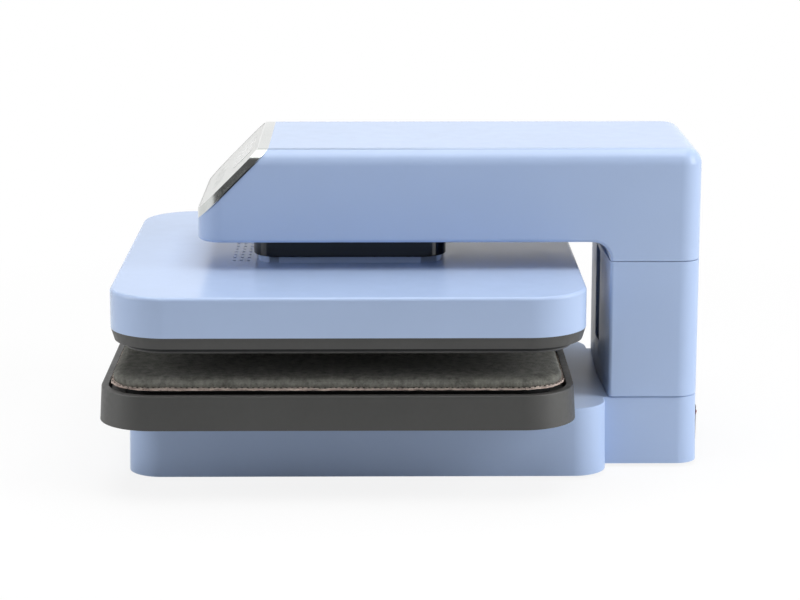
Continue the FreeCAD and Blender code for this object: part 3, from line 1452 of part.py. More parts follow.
def switch_frame():
    """The power switch's frame, with trunnion bores for its rocker."""
    body = new_body("switch_frame")
    rear = S.column_rear + S.base_flare
    flange = sketch_on(body, "XZ_Plane", -rear)
    rectangle(flange, S.switch_width + 4, S.switch_height + 4, 2.0, x=S.switch_x, y=SWITCH_Z)
    pad(body, flange, SWITCH_FLANGE, reverse=True)
    shell = sketch_on(body, "XZ_Plane", -rear)
    rectangle(shell, S.switch_width, S.switch_height, x=S.switch_x, y=SWITCH_Z)
    pad(body, shell, S.switch_depth)
    well = sketch_on(body, "XZ_Plane", -(rear + SWITCH_FLANGE + 1))
    rectangle(well, S.switch_width - 4, S.switch_height - 4, x=S.switch_x, y=SWITCH_Z)
    pocket(body, well, S.switch_depth + SWITCH_FLANGE - 1, reverse=True)
    bores = sketch_on(body, "YZ_Plane", S.switch_x)
    circles(bores, [(rear - ROCKER_SINK, SWITCH_Z)], ROCKER_PIN + S.running_fit)
    pocket(body, bores, S.switch_width - 1, both=True)
    return body


def power_rocker():
    """The rocker on its two trunnions: a wedge-faced button, tipped with its upper end out."""
    body = new_body("power_rocker")
    half_h = (S.switch_height - 4) / 2 - 1.3
    width = S.switch_width - 5
    sketch = sketch_on(body, "YZ_Plane", S.switch_x)
    face = ROCKER_SINK + SWITCH_FLANGE
    polygon(sketch, [(as_size(-5.0), -4.0), (face, -half_h), (face - 0.8, as_size(0.0)),
                     (face, half_h), (as_size(-5.0), as_size(4.0))])
    pad(body, sketch, width, both=True)
    pins = sketch_on(body, "YZ_Plane", S.switch_x)
    circles(pins, [(0.0, 0.0)], ROCKER_PIN)
    pad(body, pins, S.switch_width - 1.6, both=True)
    bind(body, "Placement.Base.y", S.column_rear + S.base_flare - ROCKER_SINK)
    bind(body, "Placement.Base.z", SWITCH_Z)
    turn = FreeCAD.Rotation(V(1, 0, 0), -S.rocker_tilt.value)
    body.Placement = FreeCAD.Placement(body.Placement.Base, turn)
    return body


def foot_screws():
    """The screws of the feet: their heads are sunk in the rubber."""
    head = 1.2
    return pan_screws("foot_screws", FEET, FOOT_SINK - head, head, 8.0)


def base_screws():
    """The screws that hold the base plate to the bosses."""
    head = 1.4
    return pan_screws("base_screws", BOSSES, S.foot_height - head, head, 10.0)


def gearbox_screws():
    """The screws through the gearbox plate into its pillars."""
    shank = S.gearbox_gauge + S.pillar_height / 2
    return pan_screws("gearbox_screws", PILLARS, GEARBOX_TOP, 2.4, shank, down=True)


MAKERS = (
    base_shell, base_plate, rubber_feet, foot_screws, base_screws, base_beam, column_posts,
    column_shell, column_vent, arm_housing, arm_bottom_cover, arm_beam, control_bezel,
    control_glass, display_board, control_board, gearbox_pillars, gearbox_plate,
    gearbox_screws, drive_motor, lower_bearing, upper_bearing, guide_bushes, ram_shroud,
    power_inlet, switch_frame, power_supply, power_rocker, platen_cover, platen_skirt,
    heating_plate, heating_element, insulation_board, thermostat, bridge_plate,
    plate_standoffs, guide_rods, rod_collars, drive_nut, ram_cover, lead_screw, drive_wheel,
    drive_pinion, press_tray, pad_core, pad_cover)


def make_all():
    """Every sub-part: the rails come in pairs."""
    parts = [maker() for maker in MAKERS]
    for side, word in ((-1, "left"), (1, "right")):
        parts.append(fixed_rail(f"fixed_rail_{word}", side))
        parts.append(mid_rail(f"mid_rail_{word}", side))
        parts.append(runner(f"runner_{word}", side))
    return parts


def check(parts):
    """Stops on a failed object or an empty or broken sub-part."""
    for item in doc.Objects:
        if "Invalid" in item.State or "Error" in item.State:
            raise ValueError(f"{item.Name} failed: {item.State}")
    for item in parts:
        if item.Shape.isNull() or not item.Shape.isValid():
            raise ValueError(f"{item.Label} has no valid shape")


def export(parts):
    """Writes each sub-part to a file of its own name."""
    os.makedirs("parts", exist_ok=True)
    for item in parts:
        item.Shape.exportStep(f"parts/{item.Label}.step")


PARTS = make_all()
doc.recompute()
check(PARTS)
export(PARTS)
for part in PARTS:
    print(part.Label, len(part.Shape.Solids), round(part.Shape.Volume))
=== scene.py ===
import math

import bmesh
import bpy
from mathutils import Euler, Matrix, Vector, noise


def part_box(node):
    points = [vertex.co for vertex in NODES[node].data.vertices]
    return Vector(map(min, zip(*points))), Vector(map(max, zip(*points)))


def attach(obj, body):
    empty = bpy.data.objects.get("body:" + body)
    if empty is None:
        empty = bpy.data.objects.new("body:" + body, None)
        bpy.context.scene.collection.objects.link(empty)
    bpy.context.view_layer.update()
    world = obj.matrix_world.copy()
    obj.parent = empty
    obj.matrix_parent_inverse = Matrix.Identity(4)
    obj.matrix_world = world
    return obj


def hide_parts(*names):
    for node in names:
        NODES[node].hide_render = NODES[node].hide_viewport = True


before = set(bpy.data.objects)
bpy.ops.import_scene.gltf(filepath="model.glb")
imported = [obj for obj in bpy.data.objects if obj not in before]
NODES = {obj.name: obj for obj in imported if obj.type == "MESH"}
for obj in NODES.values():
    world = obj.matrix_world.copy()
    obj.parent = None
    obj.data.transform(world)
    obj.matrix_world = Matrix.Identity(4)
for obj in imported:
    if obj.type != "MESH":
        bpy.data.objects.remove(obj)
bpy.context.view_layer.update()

bl_info = {
    "name": "Automatic heat press dressing",
    "version": (1, 0, 0),
    "blender": (4, 5, 0),
    "location": "3D View > Sidebar > Heat press",
    "description": "Dresses the heat press frame with moulded shells, pad, panel and studio",
    "category": "Object",
}

MM = 0.001
UP, DOWN = 1, -1
WHITE = (1.0, 1.0, 1.0)

# A vertex this near to a level lies on it.
ON_LEVEL = 1e-5

# An upright edge is longer than a speck, and this share of its length goes straight up.
SPECK = 1e-4
NEARLY_UPRIGHT = 0.98

# A Mix node has sockets of the same name for each kind of data. These are the ones for colours.
COLOUR_A, COLOUR_B, COLOUR_RESULT = 6, 7, 2


# Settings

class HEATPRESS_PG_colours(bpy.types.PropertyGroup):
    """Colours of the mouldings, cloth and metal."""
    shell: bpy.props.FloatVectorProperty(
        name="Shell", description="Colour of the gloss mouldings", subtype="COLOR", size=3,
        default=(0.415, 0.525, 0.745), min=0, max=1)
    dark: bpy.props.FloatVectorProperty(
        name="Tray", description="Colour of the tray and the platen's skirt", subtype="COLOR", size=3,
        default=(0.058, 0.058, 0.056), min=0, max=1)
    black: bpy.props.FloatVectorProperty(
        name="Ram sleeve", description="Colour of the gloss black sleeve", subtype="COLOR", size=3,
        default=(0.004, 0.0045, 0.006), min=0, max=1)
    cloth: bpy.props.FloatVectorProperty(
        name="Pad cloth", description="Colour of the heat-proof cloth", subtype="COLOR", size=3,
        default=(0.228, 0.228, 0.207), min=0, max=1)
    sponge: bpy.props.FloatVectorProperty(
        name="Pad sponge", description="Colour of the silicone sponge", subtype="COLOR", size=3,
        default=(0.620, 0.500, 0.440), min=0, max=1)
    face: bpy.props.FloatVectorProperty(
        name="Panel face", description="Colour of the control panel's face", subtype="COLOR", size=3,
        default=(0.560, 0.565, 0.552), min=0, max=1)


class HEATPRESS_PG_sizes(bpy.types.PropertyGroup):
    """Sizes of the forms that the frame doesn't carry."""
    cover_edge: bpy.props.FloatProperty(
        name="Cover edge", description="Radius round the platen cover's top", default=0.003,
        min=0.001, max=0.006, unit="LENGTH")
    cover_corner: bpy.props.FloatProperty(
        name="Platen corner", description="Plan radius of the platen's corners", default=0.050,
        min=0.02, max=0.08, unit="LENGTH")
    cover_wall: bpy.props.FloatProperty(
        name="Moulding wall", description="Wall of the moulded shells", default=0.003,
        min=0.002, max=0.005, unit="LENGTH")
    tray_corner: bpy.props.FloatProperty(
        name="Tray corner", description="Plan radius of the tray's corners", default=0.047,
        min=0.02, max=0.08, unit="LENGTH")
    tray_rim: bpy.props.FloatProperty(
        name="Tray rim", description="Width of the tray's rim", default=0.0066,
        min=0.003, max=0.01, unit="LENGTH")
    tray_flare: bpy.props.FloatProperty(
        name="Tray flare", description="How far the tray's foot stands out", default=0.0017,
        min=0.0, max=0.004, unit="LENGTH")
    tray_drop: bpy.props.FloatProperty(
        name="Tray drop", description="How far the tray's rim sits below the frame's", default=0.0017,
        min=0.0, max=0.004, unit="LENGTH")
    tray_seat: bpy.props.FloatProperty(
        name="Pad seat", description="How deep the pad's seat is", default=0.0085,
        min=0.004, max=0.012, unit="LENGTH")
    sleeve_corner: bpy.props.FloatProperty(
        name="Sleeve corner", description="Plan radius of the ram's sleeve", default=0.02375,
        min=0.01, max=0.03, unit="LENGTH")
    sleeve_drop: bpy.props.FloatProperty(
        name="Sleeve drop", description="How far the sleeve hangs below the frame's", default=0.0012,
        min=0.0, max=0.003, unit="LENGTH")
    pad_corner: bpy.props.FloatProperty(
        name="Pad corner", description="Plan radius of the pad's corners", default=0.038,
        min=0.02, max=0.08, unit="LENGTH")
    pad_proud: bpy.props.FloatProperty(
        name="Pad proud", description="How far the cloth stands out beyond the frame's pad", default=-0.0002,
        min=-0.002, max=0.003, unit="LENGTH")
    hem_level: bpy.props.FloatProperty(
        name="Hem level", description="Height of the cloth's sewn edge", default=0.0972,
        min=0.09, max=0.104, unit="LENGTH")
    sponge_level: bpy.props.FloatProperty(
        name="Sponge level", description="Height above which the sponge stands out", default=0.0938,
        min=0.09, max=0.1, unit="LENGTH")
    stitch_pitch: bpy.props.FloatProperty(
        name="Stitch pitch", description="Distance from stitch to stitch", default=0.0046,
        min=0.003, max=0.01, unit="LENGTH")
    pad_puff: bpy.props.FloatProperty(
        name="Pad puff", description="How far the cloth may swell", default=0.0012,
        min=0.0, max=0.004, unit="LENGTH")
    hem_wave: bpy.props.FloatProperty(
        name="Hem wave", description="Half height of the hem's waves", default=0.0007,
        min=0.0, max=0.002, unit="LENGTH")
    arm_drop: bpy.props.FloatProperty(
        name="Arm drop", description="How far the arm's underside and its seam sit below the frame's",
        default=0.0016, min=0.0, max=0.004, unit="LENGTH")
    seam: bpy.props.FloatProperty(
        name="Seam", description="Gap between two mouldings", default=0.0005,
        min=0.0, max=0.001, unit="LENGTH")
    vent_lift: bpy.props.FloatProperty(
        name="Vent lift", description="How far the column's vent sits above the frame's", default=0.0037,
        min=0.0, max=0.006, unit="LENGTH")
    vent_stretch: bpy.props.FloatProperty(
        name="Vent stretch", description="Height of the column's vent against the frame's", default=1.022,
        min=1.0, max=1.1)
    foot_radius: bpy.props.FloatProperty(
        name="Foot radius", description="Radius of a rubber foot at its top", default=0.009,
        min=0.006, max=0.012, unit="LENGTH")


class HEATPRESS_PG_studio(bpy.types.PropertyGroup):
    """The camera and the lamps."""
    lens: bpy.props.FloatProperty(
        name="Lens", description="Focal length on a 36 mm wide sensor, in millimetres",
        default=108.98, min=30, max=200)
    eye: bpy.props.FloatVectorProperty(
        name="Eye", description="Where the camera stands", subtype="TRANSLATION", size=3,
        default=(2.1376, -0.0227, 0.6028))
    aim: bpy.props.FloatVectorProperty(
        name="Aim", description="What the camera looks at", subtype="TRANSLATION", size=3,
        default=(0.0, -0.0044, 0.1300))
    top_power: bpy.props.FloatProperty(
        name="Top lamp", description="Power of the lamp above, in watts", default=40.5, min=0, max=500)
    near_power: bpy.props.FloatProperty(
        name="Near lamp", description="Power of the lamp above the near side, in watts", default=11.0,
        min=0, max=500)
    front_power: bpy.props.FloatProperty(
        name="Front lamp", description="Power of the lamp beyond the panel's end, in watts",
        default=23.0, min=0, max=500)
    rear_power: bpy.props.FloatProperty(
        name="Rear lamp", description="Power of the lamp beyond the column's end, in watts",
        default=45.5, min=0, max=500)
    ambient: bpy.props.FloatProperty(
        name="Room light", description="Strength of the even light from the room", default=0.01,
        min=0, max=2)


# Hand tools

def clear_choice():
    """Leaves edit mode and deselects everything."""
    if bpy.context.object and bpy.context.object.mode != "OBJECT":
        bpy.ops.object.mode_set(mode="OBJECT")
    bpy.ops.object.select_all(action="DESELECT")


def hold(piece, *more):
    """Selects these pieces only and makes the first one active."""
    clear_choice()
    for item in (piece, *more):
        item.select_set(True)
    bpy.context.view_layer.objects.active = piece


def settle(piece):
    """Moves the object's place into its mesh."""
    hold(piece)
    bpy.ops.object.transform_apply(location=True, rotation=True, scale=True)


def twin(source, name):
    """A new object with its own copy of a piece's mesh."""
    piece = bpy.data.objects.new(name, source.data.copy())
    bpy.context.scene.collection.objects.link(piece)
    return piece


def block(name, low, high):
    """A block between two corners, ready to be shaped."""
    clear_choice()
    low, high = Vector(low), Vector(high)
    bpy.ops.mesh.primitive_cube_add(size=1, location=(low + high) / 2)
    piece = bpy.context.active_object
    piece.name = name
    piece.data.name = name
    piece.scale = high - low
    settle(piece)
    return piece


def pick(piece, kind, wanted):
    """Opens the piece for editing with only the wanted vertices, edges or faces chosen."""
    hold(piece)
    bpy.ops.object.mode_set(mode="EDIT")
    bpy.ops.mesh.select_mode(type=kind)
    bpy.ops.mesh.select_all(action="DESELECT")
    mesh = bmesh.from_edit_mesh(piece.data)
    mesh.normal_update()
    group = {"VERT": mesh.verts, "EDGE": mesh.edges, "FACE": mesh.faces}[kind]
    chosen = [item for item in group if wanted(item)]
    if not chosen:
        raise RuntimeError(f"nothing to shape on {piece.name}")
    for item in chosen:
        item.select_set(True)
    mesh.select_flush_mode()
    bmesh.update_edit_mesh(piece.data)


def pick_all(piece):
    """Opens the piece for editing with everything chosen."""
    hold(piece)
    bpy.ops.object.mode_set(mode="EDIT")
    bpy.ops.mesh.select_all(action="SELECT")


def done():
    """Closes the editing that pick or pick_all began."""
    bpy.ops.object.mode_set(mode="OBJECT")


def upright(edge):
    """True for an edge that stands along Z and isn't just a speck."""
    a, b = (v.co for v in edge.verts)
    length = (a - b).length
    return length > SPECK and abs(a.z - b.z) > NEARLY_UPRIGHT * length


def at_level(level):
    """Picks the edges that lie on a level."""
    return lambda edge: all(abs(v.co.z - level) < ON_LEVEL for v in edge.verts)


def facing(way, least=0.9):
    """Picks the faces that look up or down."""
    return lambda face: face.normal.z * way > least


def round_edges(piece, wanted, radius, steps):
    """Rounds the wanted edges."""
    pick(piece, "EDGE", wanted)
    bpy.ops.mesh.bevel(offset_type="OFFSET", offset=radius, segments=steps, profile=0.5,
                       affect="EDGES", clamp_overlap=False)
    done()


def sink_face(piece, wanted, rim, depth):
    """Insets a flat face and pushes it along Z."""
    pick(piece, "FACE", wanted)
    bpy.ops.mesh.inset(thickness=rim, depth=0)
    bpy.ops.mesh.extrude_region_move(TRANSFORM_OT_translate={"value": (0, 0, depth)})
    done()


def squeeze_level(piece, level, centre, factors):
    """Draws the vertices at one level in or out round a centre."""
    pick(piece, "VERT", lambda v: abs(v.co.z - level) < ON_LEVEL)
    bpy.ops.transform.resize(value=factors, center_override=centre)
    done()


def slide(piece, wanted, step):
    """Moves the wanted vertices by one step."""
    pick(piece, "VERT", wanted)
    bpy.ops.transform.translate(value=step)
    done()


def carve(piece, tool):
    """Cuts one piece out of another and throws the tool away."""
    modifier = piece.modifiers.new("carve", "BOOLEAN")
    modifier.operation = "DIFFERENCE"
    modifier.solver = "EXACT"
    modifier.object = tool
    hold(piece)
    bpy.ops.object.modifier_apply(modifier=modifier.name)
    bpy.data.objects.remove(tool)


def merge(piece, distance=1e-6):
    """Joins the vertices that lie on each other."""
    pick_all(piece)
    bpy.ops.mesh.remove_doubles(threshold=distance)
    done()


def even_out(piece, size):
    """Gives the piece a skin of even squares of one size."""
    remesh = piece.modifiers.new("even", "REMESH")
    remesh.mode = "VOXEL"
    remesh.voxel_size = size
    hold(piece)
    bpy.ops.object.modifier_apply(modifier=remesh.name)


def smooth(piece, angle=32):
    """Even shading over rounded edges, with flat faces kept flat."""
    hold(piece)
    bpy.ops.object.shade_smooth_by_angle(angle=math.radians(angle))
    modifier = piece.modifiers.new("flat_faces", "WEIGHTED_NORMAL")
    modifier.keep_sharp = True
    modifier.weight = 80
    bpy.ops.object.modifier_apply(modifier=modifier.name)


def paint(piece, finish):
    """Gives the piece one finish."""
    piece.data.materials.clear()
    piece.data.materials.append(bpy.data.materials[f"{finish}_finish"])


def seat(piece, body, slot, *nodes):
    """Gives a finished piece its body and hides the nodes that it stands for. The slot is not used."""
    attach(piece, body)
    if nodes:
        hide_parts(*nodes)


def casting(node, name, angle=32, reshape=None):
    """A merged copy of a frame node, touched up where needed and shaded smoothly."""
    piece = twin(NODES[node], name)
    piece.data.name = name
    merge(piece, distance=2e-6)
    pick_all(piece)
    bpy.ops.mesh.dissolve_limited(angle_limit=math.radians(0.3))
    done()
    if reshape:
        reshape(piece)
    smooth(piece, angle)
    return piece


def lift_vent(piece, wanted, sizes):
    """Stretches the wanted vertices from the vent's lower end and moves them up."""
    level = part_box("column_vent")[0].z
    pick(piece, "VERT", wanted)
    bpy.ops.transform.resize(value=(1, 1, sizes.vent_stretch), center_override=(0, 0, level))
    bpy.ops.transform.translate(value=(0, 0, sizes.vent_lift))
    done()


# Finishes

def dial(node, **inputs):
    """Writes plain values to a node's inputs, with _ for each space in their names."""
    for key, value in inputs.items():
        node.inputs[key.replace("_", " ")].default_value = value


def feed(tree, value, socket):
    """Links another node's output to a socket, or writes a plain value there."""
    if isinstance(value, bpy.types.NodeSocket):
        tree.links.new(value, socket)
    else:
        socket.default_value = value


def reckon(tree, operation, first, second):
    """One step of arithmetic on two outputs or plain values."""
    node = tree.nodes.new("ShaderNodeMath")
    node.operation = operation
    for socket, value in zip(node.inputs, (first, second)):
        feed(tree, value, socket)
    return node.outputs["Value"]


def shade_of(colour, factor):
    """The same colour, darker or lighter."""
    return tuple(min(1.0, part * factor) for part in colour)


class Shader:
    """A small helper that lays out the nodes of one finish."""

    def __init__(self, name):
        self.material = bpy.data.materials.new(f"{name}_finish")
        self.material.use_nodes = True
        self.tree = self.material.node_tree
        self.skin = self.tree.nodes["Principled BSDF"]
        self.place = self.add("ShaderNodeTexCoord").outputs["Object"]

    def add(self, kind, **settings):
        node = self.tree.nodes.new(kind)
        for key, value in settings.items():
            setattr(node, key, value)
        return node

    def link(self, source, target):
        self.tree.links.new(source, target)

    def set(self, **sockets):
        """Writes values that are the same all over the surface."""
        dial(self.skin, **sockets)

    def noise(self, scale, detail=3.0, rough=0.55, stretch=None):
        """A cloudy pattern, stretched by a different factor along each axis where one is given."""
        grain = self.add("ShaderNodeTexNoise")
        dial(grain, Scale=scale, Detail=detail, Roughness=rough)
        place = self.place
        if stretch:
            mapping = self.add("ShaderNodeMapping")
            dial(mapping, Scale=stretch)
            self.link(place, mapping.inputs["Vector"])
            place = mapping.outputs["Vector"]
        self.link(place, grain.inputs["Vector"])
        return grain.outputs["Fac"]

    def ramp(self, source, *stops):
        """Colours along a pattern, each at its place between 0 and 1."""
        ramp = self.add("ShaderNodeValToRGB")
        points = ramp.color_ramp.elements
        for index, (place, colour) in enumerate(stops):
            point = points[index] if index < len(points) else points.new(place)
            point.position = place
            point.color = (*colour, 1)
        self.link(source, ramp.inputs["Fac"])
        return ramp.outputs["Color"]

    def tones(self, source, colour, low, high, start=0.3, end=0.7):
        """One colour along a pattern, times low at its start and times high at its end."""
        return self.ramp(source, (start, shade_of(colour, low)), (end, shade_of(colour, high)))

    def grey(self, source, low, high, start=0.3, end=0.7):
        """Numbers along a pattern, low at its start and high at its end."""
        span = self.add("ShaderNodeMapRange")
        dial(span, From_Min=start, From_Max=end, To_Min=low, To_Max=high)
        self.link(source, span.inputs["Value"])
        return span.outputs["Result"]

    def colour(self, source):
        self.link(source, self.skin.inputs["Base Color"])

    def roughness(self, source, low, high):
        self.link(self.grey(source, low, high), self.skin.inputs["Roughness"])

    def bump(self, source, strength, distance):
        bump = self.add("ShaderNodeBump")
        dial(bump, Strength=strength, Distance=distance)
        self.link(source, bump.inputs["Height"])
        self.link(bump.outputs["Normal"], self.skin.inputs["Normal"])

    def multiply(self, share, first, second):
        """Darkens one colour by another, by a share of the full amount."""
        blend = self.add("ShaderNodeMix", data_type="RGBA", blend_type="MULTIPLY")
        sockets = (blend.inputs["Factor"], blend.inputs[COLOUR_A], blend.inputs[COLOUR_B])
        for socket, value in zip(sockets, (share, first, second)):
            feed(self.tree, value, socket)
        return blend.outputs[COLOUR_RESULT]

    def darken(self, share, base, source, low, start, end):
        """Darkens a colour along a pattern, to low at its start and not at all at its end."""
        return self.multiply(share, base, self.tones(source, WHITE, low, 1.0, start, end))


def gloss_moulding(name, colour, rough=0.20, speck=0.02, shine=0.5):
    """Injection-moulded gloss plastic: a faint mottle, a fine peel and small gloss changes."""
    make = Shader(name)
    cloud = make.noise(scale=9.0, detail=2.0)
    make.colour(make.tones(cloud, colour, low=1 - speck, high=1 + speck))
    make.roughness(make.noise(scale=60.0, detail=4.0), low=rough - 0.025, high=rough + 0.035)
    make.bump(make.noise(scale=900.0, detail=2.0), strength=0.05, distance=0.00005)
    make.set(Specular_IOR_Level=shine, IOR=1.5)


def satin_moulding(name, colour, rough=0.48):
    """Fine textured plastic with a soft mould grain."""
    make = Shader(name)
    cloud = make.noise(scale=14.0, detail=3.0)
    make.colour(make.tones(cloud, colour, low=0.93, high=1.07))
    make.roughness(make.noise(scale=220.0, detail=3.0), low=rough - 0.06, high=rough + 0.08)
    cells = make.add("ShaderNodeTexVoronoi", feature="SMOOTH_F1")
    dial(cells, Scale=1500.0)
    make.link(make.place, cells.inputs["Vector"])
    make.bump(cells.outputs["Distance"], strength=0.18, distance=0.00012)
    make.set(Specular_IOR_Level=0.45)


def worked_metal(name, colour, rough=0.3, stretch=(1, 1, 30), scratch=400.0, depth=0.06):
    """Drawn or ground metal: fine lines one way and soft stains."""
    make = Shader(name)
    lines = make.noise(scale=scratch, detail=4.0, rough=0.6, stretch=stretch)
    stain = make.noise(scale=18.0, detail=3.0)
    base = make.tones(stain, colour, low=0.88, high=1.06)
    make.colour(make.darken(0.35, base, lines, low=0.75, start=0.35, end=0.65))
    make.roughness(lines, low=rough - 0.07, high=rough + 0.12)
    make.bump(lines, strength=depth, distance=0.00004)
    make.set(Metallic=1.0)


def coated_plate(name, colour):
    """Dark non-stick coat with fine sparkle and faint rubbing."""
    make = Shader(name)
    grain = make.noise(scale=1600.0, detail=2.0)
    wear = make.noise(scale=25.0, detail=5.0, rough=0.7)
    make.colour(make.tones(wear, colour, low=0.8, high=1.35, start=0.35, end=0.72))
    make.roughness(wear, low=0.34, high=0.5)
    make.bump(grain, strength=0.15, distance=0.0001)
    make.set(Metallic=0.15, Specular_IOR_Level=0.5)


def pad_cloth(name, colour):
    """Heat-proof woven cloth: fine plain weave, felted nap, soft mottle and sheen."""
    make = Shader(name)
    threads = []
    for way in ("X", "Y"):
        wave = make.add("ShaderNodeTexWave", wave_type="BANDS", bands_direction=way, wave_profile="SIN")
        dial(wave, Scale=260.0, Distortion=1.2, Detail=1.0, Detail_Scale=2.0)
        make.link(make.place, wave.inputs["Vector"])
        threads.append(wave.outputs["Fac"])
    weave = reckon(make.tree, "MULTIPLY", *threads)
    nap = make.noise(scale=1400.0, detail=4.0, rough=0.7)
    mottle = make.noise(scale=150.0, detail=5.0, rough=0.7)
    cloud = make.noise(scale=24.0, detail=3.0)
    gather_shade = make.noise(scale=210.0, detail=2.0, stretch=(1, 1, 0.08))
    base = make.ramp(mottle, (0.30, shade_of(colour, 0.55)), (0.5, colour), (0.70, shade_of(colour, 1.35)))
    tone = make.multiply(0.6, base, make.ramp(cloud, (0.3, (0.74, 0.75, 0.70)), (0.7, WHITE)))
    # Darker streaks along the gathers: painted shade in the cloth's folds.
    tone = make.darken(0.3, tone, gather_shade, low=0.5, start=0.35, end=0.6)
    tone = make.darken(0.35, tone, weave, low=0.62, start=0.0, end=0.5)
    make.colour(make.darken(0.35, tone, nap, low=0.65, start=0.3, end=0.65))
    make.bump(reckon(make.tree, "ADD", weave, nap), strength=0.45, distance=0.0004)
    make.set(Roughness=0.95, Sheen_Weight=0.08, Sheen_Roughness=0.5, Specular_IOR_Level=0.08)


def pad_sponge(name, colour):
    """Open silicone sponge, torn along its edge: reddish, with pale specks that are painted highlights on the
    torn crumbs and dark specks that are painted shade in the pits.
    """
    make = Shader(name)
    crumbs = make.noise(scale=650.0, detail=5.0, rough=0.75)
    patches = make.noise(scale=120.0, detail=3.0)
    # Pale stops paint highlights on the torn crumbs; the dark stop paints shade in the pits.
    base = make.ramp(crumbs, (0.30, shade_of(colour, 0.40)), (0.42, colour), (0.60, (0.68, 0.58, 0.52)),
                     (0.76, (0.82, 0.74, 0.68)))
    stains = make.ramp(patches, (0.35, (0.62, 0.55, 0.55)), (0.60, WHITE))
    make.colour(make.multiply(0.6, base, stains))
    make.bump(crumbs, strength=0.8, distance=0.0008)
    make.set(Roughness=0.95, Specular_IOR_Level=0.2)


def twisted_thread(name, colour):
    """Sewing thread: fine twist, a little fluff and uneven dye."""
    make = Shader(name)
    twist = make.noise(scale=1800.0, detail=2.0, stretch=(1, 1, 3))
    dye = make.noise(scale=240.0, detail=4.0)
    make.colour(make.tones(dye, colour, low=0.6, high=1.25, start=0.35, end=0.65))
    make.bump(twist, strength=0.5, distance=0.0002)
    make.set(Roughness=0.9, Specular_IOR_Level=0.15)


def rubber(name, colour):
    """Dull rubber with a little dust."""
    make = Shader(name)
    dust = make.noise(scale=90.0, detail=4.0)
    make.colour(make.tones(dust, colour, low=0.8, high=1.5, start=0.35))
    make.roughness(dust, low=0.65, high=0.85)
    make.bump(make.noise(scale=1200.0, detail=2.0), strength=0.2, distance=0.0001)


def fibre_board(name, colour):
    """Pressed fibres or fired clay, rough to the touch."""
    make = Shader(name)
    fibres = make.noise(scale=350.0, detail=6.0, rough=0.7, stretch=(1, 4, 1))
    make.colour(make.tones(fibres, colour, low=0.82, high=1.08))
    make.bump(fibres, strength=0.4, distance=0.0003)
    make.set(Roughness=0.9)


def circuit_board(name, colour):
    """Lacquered board with faint tracks."""
    make = Shader(name)
    tracks = make.add("ShaderNodeTexBrick")
    dial(tracks, Scale=120.0, Mortar_Size=0.06, Color1=(*colour, 1),
         Color2=(*shade_of(colour, 0.8), 1), Mortar=(*shade_of(colour, 1.6), 1))
    make.link(make.place, tracks.inputs["Vector"])
    make.colour(tracks.outputs["Color"])
    make.roughness(make.noise(scale=80.0), low=0.25, high=0.4)


def panel_face(name, colour):
    """Satin printed panel, bare of marks, with a soft silk grain."""
    make = Shader(name)
    silk = make.noise(scale=700.0, detail=3.0)
    make.colour(make.tones(make.noise(scale=7.0), colour, low=0.97, high=1.02))
    make.roughness(silk, low=0.30, high=0.34)
    make.bump(silk, strength=0.02, distance=0.00003)
    make.set(Specular_IOR_Level=0.5)


def display_window(name):
    """Pale satin window over the display, with a faint depth of tone."""
    make = Shader(name)
    make.colour(make.ramp(make.noise(scale=30.0), (0.3, (0.585, 0.59, 0.58)), (0.7, (0.60, 0.605, 0.595))))
    make.roughness(make.noise(scale=300.0), low=0.24, high=0.32)


CAD_FINISH = {
    "blue_shell": ("base_shell", "column_shell", "arm_housing", "arm_bottom_cover", "platen_cover",
                   "ram_cover"),
    "grey_plastic": ("press_tray", "platen_skirt"),
    "gloss_black": ("ram_shroud",),
    "black_plastic": ("column_vent", "power_inlet", "switch_frame"),
    "red_plastic": ("power_rocker",),
    "bright_trim": ("control_bezel",),
    "panel_face": ("control_glass",),
    "frame_steel": ("base_beam", "column_posts", "arm_beam", "bridge_plate", "gearbox_plate", "base_plate"),
    "rail_steel": ("fixed_rail_left", "fixed_rail_right", "mid_rail_left", "mid_rail_right",
                   "runner_left", "runner_right"),
    "ground_steel": ("guide_rods", "lead_screw", "drive_wheel", "drive_pinion", "lower_bearing",
                     "upper_bearing", "foot_screws", "base_screws", "gearbox_screws", "gearbox_pillars",
                     "rod_collars", "plate_standoffs", "heating_element"),
    "motor_paint": ("drive_motor",),
    "bronze": ("guide_bushes", "drive_nut"),
    "hot_plate_coating": ("heating_plate",),
    "mineral_board": ("insulation_board",),
    "ceramic": ("thermostat",),
    "circuit_board": ("display_board", "control_board", "power_supply"),
    "foot_rubber": ("rubber_feet",),
    "pad_cloth": ("pad_cover",),
    "pad_sponge": ("pad_core",),
}


